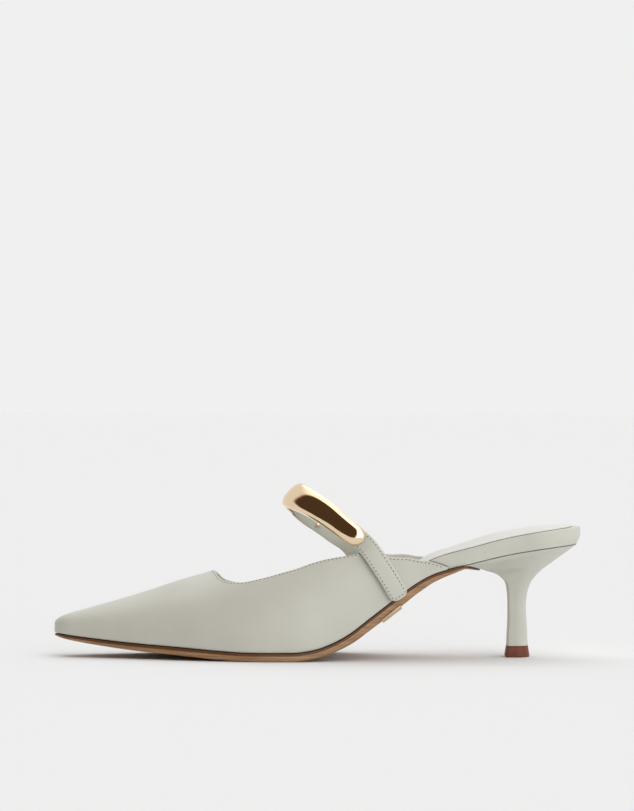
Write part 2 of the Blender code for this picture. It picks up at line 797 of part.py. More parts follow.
def eased(values):
    """Average a run of points with their neighbours, keeping both ends in place."""
    kernel = np.hanning(2 * STRAP_EASE_STEPS + 1)
    kernel /= kernel.sum()
    front = 2.0 * values[0] - values[STRAP_EASE_STEPS:0:-1]
    back = 2.0 * values[-1] - values[-2:-STRAP_EASE_STEPS - 2:-1]
    run = np.concatenate((front, values, back))
    return np.stack([np.convolve(run[:, k], kernel, mode="valid") for k in range(3)], 1)


def unit(vectors):
    return vectors / np.linalg.norm(vectors, axis=1)[:, None]


def strap_frames():
    """Points, normals, width directions and lengths along the strap's middle line."""
    tab_z = feather_height(STRAP_TAB) - STRAP_TAB_DROP
    points = []
    normals = []
    for row in STRAP:
        x = STRAP_TAB - STRAP_LEAN * row.forward
        z = tab_z + STRAP_RISE * row.up
        side = LATERAL if row.across < 0.0 else MEDIAL
        if row.held > 0.0:
            turn = turn_at_height(x, side, max(z, feather_height(x) + STRAP_LEAST_RISE))
            y = upper_point(x, side, turn).y + side * (STRAP_CLEARANCE + STRAP_THICKNESS / 2.0)
            normals.append(upper_normal(x, side, turn))
        else:
            y = STRAP_HALF_SPAN * row.across
            normals.append(None)
        points.append(Vector((TOE_X + x, y, z)))
    path = natural_spline([tuple(p) for p in points])
    guide = Vector((math.cos(STRAP_WIDTH_TILT), 0.0, math.sin(STRAP_WIDTH_TILT)))
    for i in range(1, len(points) - 1):
        if normals[i] is None:
            normals[i] = guide.cross(points[i + 1] - points[i - 1]).normalized()
            if normals[i].x > 0.0:
                normals[i].negate()
    facing = natural_spline([tuple(n) for n in normals])
    places = np.linspace(0.0, len(points) - 1, STRAP_PATH_STEPS + 1)
    spots = eased(np.array([path(p) for p in places]))
    facings = eased(np.array([facing(p) for p in places]))
    tangents = unit(np.gradient(spots, axis=0))
    facings = unit(facings - tangents * (facings * tangents).sum(1)[:, None])
    widths = np.cross(facings, tangents)
    widths *= np.sign(widths[:, 2])[:, None]
    steps = np.linalg.norm(np.diff(spots, axis=0), axis=1)
    lengths = np.concatenate(([0.0], np.cumsum(steps)))
    crest = float(np.interp(STRAP_CREST, places, lengths))
    return StrapPath(spots, facings, widths, lengths, crest)


def frame_at(path, distance):
    """Point, normal and width direction at a distance along the strap."""
    mixed = []
    for values in (path.spots, path.facings, path.widths):
        mixed.append(Vector([np.interp(distance, path.lengths, values[:, k]) for k in range(3)]))
    return mixed[0], mixed[1].normalized(), mixed[2].normalized()


def sweep(sections):
    """Skin closed sections that follow one another and cap both ends."""
    bm = bmesh.new()
    rows = [[bm.verts.new(p) for p in section] for section in sections]
    count = len(rows[0])
    for before, after in zip(rows, rows[1:]):
        for k in range(count):
            nxt = (k + 1) % count
            add_face(bm, (before[k], before[nxt], after[nxt], after[k]))
    bm.faces.new(rows[0])
    bm.faces.new(rows[-1])
    close_up(bm)
    return bm


def build_strap(material, parent, path):
    """One leather strap with rounded tabs, laid on the outside of both wings."""
    total = path.lengths[-1]
    edge = STRAP_EDGE
    distances = [STRAP_END_RADIUS * (1.0 - math.cos(math.pi / 2.0 * i / 4)) for i in range(4)]
    inner = np.linspace(STRAP_END_RADIUS, total - STRAP_END_RADIUS, STRAP_STEPS - 8)
    distances = distances + list(inner) + [total - d for d in reversed(distances)]
    sections = []
    for distance in distances:
        point, normal, width = frame_at(path, distance)
        near_end = min(distance, total - distance)
        half = STRAP_WIDTH / 2.0 - STRAP_END_RADIUS
        half += STRAP_END_RADIUS * quarter_round(near_end / STRAP_END_RADIUS)
        half_thick = STRAP_THICKNESS / 2.0
        corners = ((-half + edge, half_thick), (half - edge, half_thick),
                   (half, half_thick - edge), (half, -half_thick + edge),
                   (half - edge, -half_thick), (-half + edge, -half_thick),
                   (-half, -half_thick + edge), (-half, half_thick - edge))
        sections.append([point + width * w + normal * n for w, n in corners])
    return add_object("strap", sweep(sections), material, parent, 40.0)


def build_ornament(material, parent, path):
    """Open-backed metal shell that rides on the strap over the instep's top."""
    width_of = curve(ORNAMENT, "place", "width")
    bulge_of = curve(ORNAMENT, "place", "bulge")
    wrap_of = curve(ORNAMENT, "place", "wrap")
    start = path.crest - ORNAMENT_NEAR
    length = ORNAMENT_NEAR + ORNAMENT_FAR
    power = 2.0 / ORNAMENT_FULLNESS
    places = []
    for i in range(6):
        share = 1.0 + ORNAMENT_TIP_SHARE - math.cos(math.pi / 2.0 * i / 6)
        places.append(ORNAMENT_END * share)
    straight = list(np.linspace(ORNAMENT_END, length - ORNAMENT_END, ORNAMENT_STEPS - 12))
    places = places + straight[1:-1] + [length - d for d in reversed(places)]
    levels = []
    for place in places:
        point, normal, across = frame_at(path, start + place)
        share = place / length
        ends = quarter_round(min(place, length - place) / ORNAMENT_END)
        half = ORNAMENT_WIDTH / 2.0 * width_of(share) * ends
        bulge = ORNAMENT_BULGE * bulge_of(share) * ends
        wrap = STRAP_THICKNESS * wrap_of(share) * max(ends * 2.0 - 1.0, 0.0)
        base = point + normal * (STRAP_THICKNESS / 2.0 + ORNAMENT_CLEARANCE)
        level = []
        for wall in (0.0, ORNAMENT_WALL):
            reach = max(half - wall, half * ORNAMENT_CORE_SHARE)
            height = max(bulge - wall, bulge * ORNAMENT_CORE_SHARE)
            row = [base - across * reach - normal * wrap]
            for k in range(ORNAMENT_GIRTH + 1):
                angle = math.pi * (k / ORNAMENT_GIRTH - 0.5)
                w = reach * math.copysign(abs(math.sin(angle)) ** power, math.sin(angle))
                n = height * max(math.cos(angle), 0.0) ** power
                row.append(base + across * w + normal * n)
            row.append(base + across * reach - normal * wrap)
            level.append(row)
        levels.append(level)
    return add_object("ornament", loft_pairs(levels), material, parent, 40.0)


def build_stud(name, distance, material, parent, path):
    """Small round stud on the strap's inner face that holds the ornament."""
    point, normal, width = frame_at(path, distance)
    bm = bmesh.new()
    bmesh.ops.create_cone(bm, cap_ends=True, segments=16, radius1=STUD_RADIUS,
                          radius2=STUD_RADIUS * STUD_TAPER, depth=STUD_HEIGHT)
    seat = point - normal * (STRAP_THICKNESS / 2.0 + FIT_GAP + STUD_HEIGHT / 2.0)
    seat -= width * STUD_DROP
    turn = (-normal).to_track_quat("Z", "Y").to_matrix().to_4x4()
    bm.transform(Matrix.Translation(seat) @ turn)
    return add_object(name, bm, material, parent, 40.0)


def build_plate(material, parent):
    """Plain metal plate on the lateral bevel of the outsole's waist."""
    reach = PLATE_LENGTH / 2.0

    def edge_point(distance, inset, share):
        y = swing(distance) - half_width(distance) + inset
        z = mix(outsole_bottom(distance), outsole_top(distance) - WELT_BAND, share)
        return Vector((TOE_X + distance, y, z))

    bevel_from = EDGE_BEVEL_HEIGHT / (OUTSOLE_THICKNESS - WELT_BAND)
    along = edge_point(PLATE_STATION + reach, 0.0, bevel_from)
    along -= edge_point(PLATE_STATION - reach, 0.0, bevel_from)
    along.normalize()
    low = edge_point(PLATE_STATION, EDGE_BEVEL, 0.0)
    high = edge_point(PLATE_STATION, 0.0, bevel_from)
    up = high - low
    up = (up - along * up.dot(along)).normalized()
    out = along.cross(up).normalized()
    if out.y > 0.0:
        out.negate()
    seat = (low + high) / 2.0 + out * (FIT_GAP + PLATE_THICKNESS / 2.0)
    bm = bmesh.new()
    bmesh.ops.create_cube(bm, size=1.0)
    turn = Matrix((along, out.cross(along), out)).transposed().to_4x4()
    size = Matrix.Diagonal((PLATE_LENGTH, PLATE_WIDTH, PLATE_THICKNESS, 1.0))
    bm.transform(Matrix.Translation(seat) @ turn @ size)
    return add_object("waist_plate", bm, material, parent, 30.0)


def main():
    for obj in list(bpy.data.objects):
        bpy.data.objects.remove(obj, do_unlink=True)
    shoe = bpy.data.objects.new("shoe", None)
    bpy.context.scene.collection.objects.link(shoe)
    leather = new_material("upper_leather", (0.52, 0.51, 0.43), 0.45, 0.0)
    lining = new_material("sock_leather", (0.74, 0.73, 0.69), 0.50, 0.0)
    sole = new_material("sole_leather", (0.42, 0.24, 0.13), 0.50, 0.0)
    rubber = new_material("heel_tip_rubber", (0.16, 0.06, 0.03), 0.55, 0.0)
    gold = new_material("gold_metal", (0.80, 0.62, 0.42), 0.12, 1.0)

    build_outsole(sole, shoe)
    build_insole(leather, shoe)
    build_upper(leather, shoe)
    build_sock(lining, shoe)
    build_heel(leather, shoe)
    build_heel_tip(rubber, shoe)
    path = strap_frames()
    build_strap(leather, shoe, path)
    build_ornament(gold, shoe, path)
    build_stud("rivet_near", path.crest - ORNAMENT_NEAR + STUD_INSET, gold, shoe, path)
    build_stud("rivet_far", path.crest + ORNAMENT_FAR - STUD_INSET, gold, shoe, path)
    build_plate(gold, shoe)


main()
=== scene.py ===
"""Looks of the pointed toe mule: leather, sole, sock, heel, strap and polished ornament.

Metres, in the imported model's frame: toe along -X, lateral side -Y, floor at Z = 0.
"""
import math
from collections import namedtuple

import bmesh
import bpy
import numpy as np
from mathutils import Matrix, Vector


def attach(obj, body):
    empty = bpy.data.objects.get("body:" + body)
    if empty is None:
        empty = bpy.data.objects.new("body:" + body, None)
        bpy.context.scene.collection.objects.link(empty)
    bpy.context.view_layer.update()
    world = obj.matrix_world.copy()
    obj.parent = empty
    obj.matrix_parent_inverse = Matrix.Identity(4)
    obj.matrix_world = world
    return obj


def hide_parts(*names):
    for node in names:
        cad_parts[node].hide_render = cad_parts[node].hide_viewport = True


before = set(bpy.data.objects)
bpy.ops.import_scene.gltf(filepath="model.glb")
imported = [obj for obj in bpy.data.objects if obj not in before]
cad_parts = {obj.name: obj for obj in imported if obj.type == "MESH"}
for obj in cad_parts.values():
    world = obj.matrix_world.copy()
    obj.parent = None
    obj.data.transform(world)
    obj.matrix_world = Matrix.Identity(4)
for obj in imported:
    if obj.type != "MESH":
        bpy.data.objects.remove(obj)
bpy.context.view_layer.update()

# The camera stands level on the lateral side, at the photograph's distance and height
PHOTO_HEIGHT_PX = 811
PHOTO_MM_PER_PX = 0.5
CAMERA_DISTANCE = 1.70
CAMERA_X = -0.1001
CAMERA_Z = 0.1255
SENSOR_MM = 36.0

# Sizes of the shoe
SHOE_LENGTH = 0.2630
HEEL_SETBACK = 0.0314
BALL_WIDTH = 0.0780
SEAT_WIDTH = 0.0540
TOE_LENGTH = 0.0090
TOE_DROP = 0.0036
TOE_SPRING = 0.0075
SEAT_RISE = 0.0525
VAMP_RISE = 0.0380
TOE_SWING = 0.0042
LAST_SWELL = 0.0015
SEAT_ROUND = 0.0270
UPPER_WALL = 0.0016
FIT_GAP = 0.0003
OUTSOLE_THICKNESS = 0.0041
INSOLE_THICKNESS = 0.0020
RAND_HEIGHT = 0.0089
RAND_ROUND = 0.0009
RAND_TUCK = 0.0016
RAND_BELLY_SHARE = 0.55
SOCK_THICKNESS = 0.0008
SOCK_CROWN = 0.0021
SOCK_INSET = 0.0009
SOCK_HEEL_INSET = 0.0034
INSOLE_SETBACK = 0.0070
SOCK_SETBACK = 0.0120
WELT_BAND = 0.0013
WELT_RECESS = 0.0004
EDGE_BEVEL = 0.0012
EDGE_BEVEL_HEIGHT = 0.0010
WELT_STEP = 0.0002
THIN_BAND_SHARE = 0.45
TONGUE_LEAD = 0.0033
TONGUE_LENGTH = 0.0125
TONGUE_DROP = 0.0044
TONGUE_CURL = 1.25
HEEL_SEAT_LENGTH = 0.0592
STEM_DEPTH = 0.0106
STEM_WIDTH = 0.0134
HEEL_TIP_HEIGHT = 0.0056
HEEL_TIP_FLARE = 0.0004
LIP_ROUND_SHARE = 0.46
STEM_ROUND_SHARE = 0.55
CORNER_RUN_SHARE = 0.10
TIP_CORNER_SHARE = 0.90
STRAP_TAB_SHARE = 0.6567
STRAP_WIDTH = 0.0098
STRAP_THICKNESS = 0.0020
STRAP_END_RADIUS = 0.0034
STRAP_CORNER_SHARE = 0.42
STRAP_LEAN = 0.0520
STRAP_HALF_SPAN = 0.0300
STRAP_RISE = 0.0488
STRAP_TAB_DROP = 0.0014
STRAP_CLEARANCE = 0.0009
STRAP_LEAST_RISE = 0.0020
ORNAMENT_NEAR = 0.0535
ORNAMENT_FAR = 0.0330
ORNAMENT_WIDTH = 0.0144
ORNAMENT_BULGE = 0.0036
ORNAMENT_WALL = 0.0007
ORNAMENT_END = 0.0065
ORNAMENT_CLEARANCE = 0.0008
STUD_RADIUS = 0.0014
STUD_HEIGHT = 0.0008
STUD_INSET = 0.0055
STUD_DROP = 0.0014
ORNAMENT_FULLNESS = 2.3
ORNAMENT_CORE_SHARE = 0.30

# How finely curves are sampled and how far they are eased
CURVE_SAMPLES = 1601
EASE = 0.022
SOCK_EASE = 0.012
SHELL_EASE = 0.10
WRAP_EASE = 0.04
PATH_SAMPLES = 1200
PATH_EASE_ROWS = 29
MERGE_DISTANCE = 0.000002

# Fine detail that only the looks carry
STITCH_PITCH = 0.00195
STITCH_LENGTH = 0.00150
STITCH_RADIUS = 0.00024
STITCH_SINK_SHARE = 0.15
STITCH_FLATNESS = 0.8
STITCH_INSET = 0.0010
STITCH_TAIL = 0.7300
STRAP_STITCH_INSET = 0.0013
STRAP_STITCH_START = 0.0020
STRAP_STITCH_START_FAR = 0.0010
HOLE_RADIUS = 0.00031
HOLE_FLATNESS = 0.25
THROAT_CORNER = 0.3520
THROAT_EASE = 0.0018
EDGE_GROOVE = 0.0001
PLATE_BEVEL = 0.00028
# Painted shadow cord round the sock's edge, where it meets the rand
SOCK_SHADOW_RADIUS = 0.00018
# Painted shadow cord where each wing's tail meets the rand
TAIL_SHADOW_START = 0.7120
TAIL_SHADOW_RISE = 0.0002
TAIL_SHADOW_RADIUS = 0.00022

# Light: the horizon has the photograph's background brightness, a broad fill stands above
# the camera, and a dark room to its left gives the metal its dark reflection
HORIZON_LIGHT = 0.871
CAP_LIGHT = 1.45
CAP_START = 0.70
CAP_FULL = 0.92
FILL_TOWARDS = (-0.20, -0.85, 0.30)
FILL_LIGHT = 1.42
FILL_START = 0.30
FILL_FULL = 0.85
ROOM_TOWARDS = (-0.72, -0.58, 0.38)
ROOM_LIGHT = 0.075
ROOM_COLOR = (1.0, 0.60, 0.34)
ROOM_START = 0.60
ROOM_FULL = 0.70
SUN_TOWARDS = (0.10, 0.75, 1.00)
SUN_LIGHT = 0.32
SUN_SPREAD_DEGREES = 40.0
FLOOR_COLOR = (0.800, 0.806, 0.812)
FLOOR_REACH = 60.0

Plan = namedtuple("Plan", "station width swing")
PLAN = (
    Plan(0.000, 0.130, 1.00),
    Plan(0.050, 0.277, 1.07),
    Plan(0.100, 0.418, 1.05),
    Plan(0.200, 0.682, 0.83),
    Plan(0.300, 0.892, 0.36),
    Plan(0.360, 0.970, 0.12),
    Plan(0.405, 1.000, 0.00),
    Plan(0.450, 0.995, -0.17),
    Plan(0.500, 0.945, -0.36),
    Plan(0.550, 0.862, -0.55),
    Plan(0.600, 0.772, -0.71),
    Plan(0.650, 0.700, -0.83),
    Plan(0.700, 0.657, -0.75),
)
PLAN_SEAT = (
    Plan(0.760, 0.965, -0.50),
    Plan(0.820, 0.985, -0.26),
    Plan(0.900, 1.000, 0.00),
    Plan(1.000, 1.000, 0.00),
)
Side = namedtuple("Side", "station toe seat sole insole")
SIDE = (
    Side(0.000, 1.000, 0.000, 0.30, 0.00),
    Side(0.020, 0.900, 0.000, 0.46, 0.00),
    Side(0.075, 0.690, 0.000, 0.64, 0.00),
    Side(0.150, 0.465, 0.000, 0.80, 0.00),
    Side(0.244, 0.265, 0.000, 0.92, 0.00),
    Side(0.320, 0.085, 0.000, 0.98, 0.00),
    Side(0.375, 0.000, 0.000, 1.00, 0.00),
    Side(0.455, 0.000, 0.000, 1.00, 0.00),
    Side(0.495, 0.000, 0.026, 0.98, 0.02),
    Side(0.525, 0.000, 0.077, 0.98, 0.06),
    Side(0.555, 0.000, 0.153, 1.02, 0.13),
    Side(0.600, 0.000, 0.320, 1.08, 0.30),
    Side(0.645, 0.000, 0.492, 1.12, 0.55),
    Side(0.690, 0.000, 0.653, 1.04, 0.76),
    Side(0.720, 0.000, 0.732, 0.88, 0.80),
    Side(0.750, 0.000, 0.778, 0.66, 0.82),
    Side(0.787, 0.000, 0.819, 0.32, 0.88),
    Side(0.850, 0.000, 0.895, 0.22, 0.93),
    Side(0.920, 0.000, 0.955, 0.22, 0.98),
    Side(1.000, 0.000, 1.000, 0.22, 1.00),
)
Last = namedtuple("Last", "station rise full skew")
LAST = (
    Last(0.000, 0.225, 2.50, 0.00),
    Last(0.021, 0.272, 2.40, 0.00),
    Last(0.087, 0.442, 2.20, 0.02),
    Last(0.183, 0.690, 2.08, 0.04),
    Last(0.240, 0.845, 2.04, 0.06),
    Last(0.302, 1.000, 2.00, 0.07),
    Last(0.347, 1.135, 2.00, 0.07),
    Last(0.400, 1.313, 2.00, 0.06),
    Last(0.450, 1.497, 2.00, 0.04),
    Last(0.530, 1.684, 2.00, 0.02),
    Last(0.600, 1.620, 2.00, 0.00),
    Last(0.680, 1.530, 2.00, 0.00),
    Last(0.760, 1.530, 2.00, 0.00),
)
Top = namedtuple("Top", "station lateral medial")
TOPLINE = (
    Top(0.3020, 1.000, 1.000),
    Top(0.3055, 0.900, 0.890),
    Top(0.3090, 0.829, 0.812),
    Top(0.3160, 0.712, 0.680),
    Top(0.3280, 0.633, 0.590),
    Top(0.3480, 0.576, 0.522),
    Top(0.3700, 0.548, 0.490),
    Top(0.3940, 0.532, 0.473),
    Top(0.4320, 0.511, 0.456),
    Top(0.4890, 0.494, 0.444),
    Top(0.5270, 0.461, 0.420),
    Top(0.5550, 0.431, 0.398),
    Top(0.5930, 0.378, 0.350),
    Top(0.6150, 0.315, 0.298),
    Top(0.6400, 0.241, 0.232),
    Top(0.6650, 0.186, 0.182),
    Top(0.6900, 0.122, 0.120),
    Top(0.7100, 0.081, 0.080),
    Top(0.7300, 0.040, 0.040),
    Top(0.7450, 0.012, 0.012),
)
Pad = namedtuple("Pad", "station crown")
SOCK_PAD = (
    Pad(0.660, 0.00),
    Pad(0.720, 0.12),
    Pad(0.760, 0.40),
    Pad(0.800, 0.82),
    Pad(0.840, 1.00),
    Pad(0.880, 0.86),
    Pad(0.920, 0.62),
    Pad(0.960, 0.38),
    Pad(1.000, 0.05),
)
Lip = namedtuple("Lip", "behind back back_height width")
HEEL_LIPS = (
    Lip(0.0033, 0.893, 0.978, 0.900),
    Lip(0.0064, 0.799, 0.942, 0.775),
    Lip(0.0096, 0.645, 0.885, 0.600),
)
Ring = namedtuple("Ring", "front front_height back back_height width corner")
HEEL_RINGS = (
    Ring(0.455, 0.925, 0.520, 0.838, 0.480, 0.97),
    Ring(0.255, 0.885, 0.285, 0.748, 0.235, 0.94),
    Ring(0.110, 0.825, 0.155, 0.684, 0.120, 0.92),
    Ring(0.017, 0.752, 0.064, 0.625, 0.052, 0.90),
    Ring(-0.018, 0.637, -0.008, 0.524, 0.000, 0.90),
    Ring(-0.027, 0.485, -0.039, 0.392, -0.028, 0.90),
    Ring(-0.022, 0.280, -0.023, 0.228, -0.022, 0.90),
    Ring(-0.008, 0.110, -0.008, 0.088, -0.008, 0.90),
    Ring(0.000, 0.000, 0.000, 0.000, 0.000, 0.90),
)
Step = namedtuple("Step", "forward across up held")
STRAP = (
    Step(0.000, -1.00, 0.000, 1.0),
    Step(0.056, -1.00, 0.099, 1.0),
    Step(0.108, -1.00, 0.193, 1.0),
    Step(0.201, -1.00, 0.348, 1.0),
    Step(0.287, -1.00, 0.482, 1.0),
    Step(0.377, -0.965, 0.582, 0.0),
    Step(0.479, -0.900, 0.661, 0.0),
    Step(0.571, -0.817, 0.736, 0.0),
    Step(0.663, -0.717, 0.812, 0.0),
    Step(0.755, -0.583, 0.879, 0.0),
    Step(0.849, -0.417, 0.939, 0.0),
    Step(0.942, -0.195, 0.988, 0.0),
    Step(1.000, 0.060, 1.000, 0.0),
    Step(0.967, 0.355, 0.926, 0.0),
    Step(0.865, 0.600, 0.796, 0.0),
    Step(0.721, 0.783, 0.685, 0.0),
    Step(0.596, 0.893, 0.586, 0.0),
    Step(0.452, 1.00, 0.467, 1.0),
    Step(0.338, 1.00, 0.235, 1.0),
    Step(0.252, 1.00, 0.041, 1.0),
    Step(0.218, 1.00, -0.051, 1.0),
    Step(0.186, 1.00, -0.133, 1.0),
)
STRAP_CREST = 12
STRAP_WIDTH_TILT = math.radians(47.0)
Shell = namedtuple("Shell", "place width bulge wrap")
ORNAMENT = (
    Shell(0.00, 0.72, 0.62, 0.00),
    Shell(0.08, 0.73, 0.74, 0.00),
    Shell(0.20, 0.78, 0.88, 0.00),
    Shell(0.32, 0.87, 0.97, 0.60),
    Shell(0.46, 0.92, 1.00, 1.00),
    Shell(0.60, 1.00, 1.00, 1.00),
    Shell(0.70, 0.90, 0.96, 0.80),
    Shell(0.80, 0.78, 0.88, 0.00),
    Shell(0.90, 0.72, 0.76, 0.00),
    Shell(1.00, 0.70, 0.62, 0.00),
)

SHELL_INSET = UPPER_WALL + FIT_GAP
OUTER_LENGTH = SHOE_LENGTH + SHELL_INSET
TOE_X = HEEL_SETBACK - SHOE_LENGTH
HEEL_FRONT = SHOE_LENGTH - HEEL_SEAT_LENGTH
TONGUE_START = HEEL_FRONT - TONGUE_LEAD
STRAP_TAB = STRAP_TAB_SHARE * SHOE_LENGTH
LATERAL = -1.0
MEDIAL = 1.0


def curve(table, place, column):
    """Return a smooth function through a table's column that never overshoots its rows."""
    xs = np.array([getattr(row, place) for row in table])
    ys = np.array([getattr(row, column) for row in table])
    gaps = np.diff(xs)
    slopes = np.diff(ys) / gaps
    tangents = np.zeros(len(xs))
    tangents[0] = slopes[0]
    tangents[-1] = slopes[-1]
    for i in range(1, len(xs) - 1):
        before = slopes[i - 1]
        after = slopes[i]
        if before * after > 0.0:
            near = 2.0 * gaps[i] + gaps[i - 1]
            far = gaps[i] + 2.0 * gaps[i - 1]
            tangents[i] = (near + far) / (near / before + far / after)

    def value(x):
        x = min(max(x, xs[0]), xs[-1])
        i = min(int(np.searchsorted(xs, x, side="right")) - 1, len(gaps) - 1)
        u = (x - xs[i]) / gaps[i]
        start = (1.0 + 2.0 * u) * (1.0 - u) ** 2 * ys[i]
        end = u * u * (3.0 - 2.0 * u) * ys[i + 1]
        bend = u * (1.0 - u) * gaps[i] * ((1.0 - u) * tangents[i] - u * tangents[i + 1])
        return float(start + end + bend)

    return value


def eased(rows, reach):
    """Blend each row of numbers with its neighbours; the ends stay where they are."""
    kernel = np.hanning(2 * reach + 3)
    kernel /= kernel.sum()
    half = reach + 1
    front = 2.0 * rows[0] - rows[half:0:-1]
    back = 2.0 * rows[-1] - rows[-2:-half - 2:-1]
    padded = np.concatenate((front, rows, back))
    return np.stack([np.convolve(column, kernel, mode="valid") for column in padded.T], 1)


def softened(table, place, column, reach):
    """The same curve, eased with its neighbourhood so that gloss shows no kinks."""
    raw = curve(table, place, column)
    first = getattr(table[0], place)
    last = getattr(table[-1], place)
    places = np.linspace(first, last, CURVE_SAMPLES)
    rows = np.array([[raw(p)] for p in places])
    values = eased(rows, max(int(reach / (places[1] - places[0])), 1))[:, 0]

    def value(x):
        return float(np.interp(x, places, values))

    return value


def quarter_round(share):
    share = min(max(share, 0.0), 1.0)
    return math.sqrt(1.0 - (1.0 - share) ** 2)


def mix(start, end, share):
    return start + (end - start) * share


def plan_rows():
    rows = []
    for row in PLAN:
        rows.append(Plan(row.station, row.width * BALL_WIDTH / 2.0, row.swing * TOE_SWING))
    for row in PLAN_SEAT:
        rows.append(Plan(row.station, row.width * SEAT_WIDTH / 2.0, row.swing * TOE_SWING))
    return rows


width_at = softened(plan_rows(), "station", "width", EASE)
swing_at = softened(plan_rows(), "station", "swing", EASE)
toe_at = softened(SIDE, "station", "toe", EASE)
seat_at = softened(SIDE, "station", "seat", EASE * 0.5)
sole_at = softened(SIDE, "station", "sole", EASE * 0.5)
insole_at = softened(SIDE, "station", "insole", EASE)
rise_at = softened(LAST, "station", "rise", EASE)
full_at = softened(LAST, "station", "full", EASE)
skew_at = softened(LAST, "station", "skew", EASE)
top_at = {
    LATERAL: curve(TOPLINE, "station", "lateral"),
    MEDIAL: curve(TOPLINE, "station", "medial"),
}


def half_width(distance):
    return width_at(distance / SHOE_LENGTH)


def swing(distance):
    return swing_at(distance / SHOE_LENGTH)


def feather_height(distance):
    station = distance / SHOE_LENGTH
    return OUTSOLE_THICKNESS + TOE_SPRING * toe_at(station) + SEAT_RISE * seat_at(station)


def slope_stretch(distance):
    """How much longer the sloping sole is than its level run, as a ratio."""
    reach = 0.002
    climb = feather_height(distance + reach) - feather_height(distance - reach)
    return math.hypot(climb, 2.0 * reach) / (2.0 * reach)


def outsole_top(distance):
    share = max((distance - HEEL_FRONT) / (TONGUE_LENGTH - TONGUE_LEAD), 0.0)
    return feather_height(distance) - TONGUE_DROP * share ** TONGUE_CURL


def outsole_depth(distance):
    station = distance / SHOE_LENGTH
    return OUTSOLE_THICKNESS * sole_at(station) * slope_stretch(distance)


def insole_bottom(distance):
    return feather_height(distance) + FIT_GAP


def insole_top(distance):
    depth = mix(INSOLE_THICKNESS, RAND_HEIGHT - FIT_GAP, insole_at(distance / SHOE_LENGTH))
    return insole_bottom(distance) + depth


def upper_point(distance, side, turn):
    """Outer surface of the upper: turn is 0 at the feather line and 1 at the ridge."""
    station = distance / SHOE_LENGTH
    tip = quarter_round(distance / TOE_LENGTH)
    width = half_width(distance) * tip
    ridge = skew_at(station) * BALL_WIDTH / 2.0
    rise = VAMP_RISE * rise_at(station)
    round_off = TOE_DROP * (1.0 - tip)
    angle = turn * math.pi / 2.0
    power = 2.0 / full_at(station)
    across = math.cos(angle) ** power if turn < 1.0 else 0.0
    up = math.sin(angle) ** power if turn > 0.0 else 0.0
    swell = LAST_SWELL * math.sin(2.0 * angle) * tip
    reach = max(width - side * ridge * tip, 0.0)
    y = swing(distance) + ridge * tip + side * (reach * across + swell)
    z = feather_height(distance) + FIT_GAP + (rise - round_off - FIT_GAP) * up
    return Vector((TOE_X + distance, y, z))


def upper_normal(distance, side, turn):
    reach = 0.0008
    step = 0.01
    along = upper_point(distance + reach, side, turn) - upper_point(distance - reach, side, turn)
    around = upper_point(distance, side, turn + step) - upper_point(distance, side, turn - step)
    normal = along.cross(around).normalized()
    if normal.y * side < 0.0:
        normal.negate()
    return normal


def turn_at_height(distance, side, height):
    """Find by halving where round the upper its surface reaches a height."""
    low = 0.02
    high = 0.98
    for _ in range(40):
        middle = (low + high) / 2.0
        if upper_point(distance, side, middle).z < height:
            low = middle
        else:
            high = middle
    return (low + high) / 2.0


def stations(start, end, toe_steps, body_steps, seat_steps):
    """Places along the shoe, closer together where the toe and the seat turn round."""
    places = []
    for i in range(toe_steps):
        places.append(start + TOE_LENGTH * (1.0 - math.cos(math.pi / 2.0 * i / toe_steps)))
    straight_end = min(end, OUTER_LENGTH) - SEAT_ROUND
    for i in range(body_steps):
        places.append(mix(start + TOE_LENGTH, straight_end, i / body_steps))
    for i in range(seat_steps + 1):
        places.append(straight_end + SEAT_ROUND * math.sin(math.pi / 2.0 * i / seat_steps))
    return places


def plan_loop(places, start, end, end_round, inset):
    """Lateral and medial points of a feather outline, moved in by an inset."""
    lateral = []
    medial = []
    for distance in places:
        ends = quarter_round((distance - start) / TOE_LENGTH)
        ends *= quarter_round((end - distance) / end_round)
        width = half_width(distance) * ends
        lateral.append((distance, swing(distance) - width))
        medial.append((distance, swing(distance) + width))
    loop = lateral + medial[-2:0:-1]
    count = len(loop)
    moved = []
    for i in range(count):
        before = loop[i - 1]
        after = loop[(i + 1) % count]
        run = after[0] - before[0]
        climb = after[1] - before[1]
        length = math.hypot(run, climb)
        moved.append((loop[i][0] - climb / length * inset, loop[i][1] + run / length * inset))
    last = len(places) - 1
    return moved[:last + 1], [moved[0]] + moved[:last:-1] + [moved[last]]


def lift(pairs, height_of):
    """Raise a plan outline to its heights, in the model's frame."""
    return [[Vector((TOE_X + x, y, height_of(x))) for x, y in side] for side in pairs]


def narrow(pairs, share):
    """Draw both rows of an outline in towards the line between them."""
    lateral, medial = pairs
    drawn_lateral = []
    drawn_medial = []
    for (x_l, y_l), (x_m, y_m) in zip(lateral, medial):
        middle = (y_l + y_m) / 2.0
        drawn_lateral.append((x_l, mix(middle, y_l, share)))
        drawn_medial.append((x_m, mix(middle, y_m, share)))
    return drawn_lateral, drawn_medial


def seat_tuck(pairs, tuck):
    """Draw an outline's round back in towards the heel's middle by a tuck."""
    drawn = []
    for side in pairs:
        row = []
        for x, y in side:
            share = max((x - HEEL_FRONT) / HEEL_SEAT_LENGTH, 0.0)
            row.append((x - tuck * share ** 2, y * (1.0 - tuck * share / SEAT_WIDTH)))
        drawn.append(row)
    return drawn


# Meshes
def add_face(bm, corners, slot=0):
    kept = []
    for corner in corners:
        if all((corner.co - other.co).length > MERGE_DISTANCE for other in kept):
            kept.append(corner)
    if len(kept) > 2:
        face = bm.faces.new(kept)
        face.material_index = slot


def turned_outward(bm):
    bmesh.ops.recalc_face_normals(bm, faces=bm.faces)
    if bm.calc_volume(signed=True) < 0.0:
        bmesh.ops.reverse_faces(bm, faces=bm.faces)
    return bm


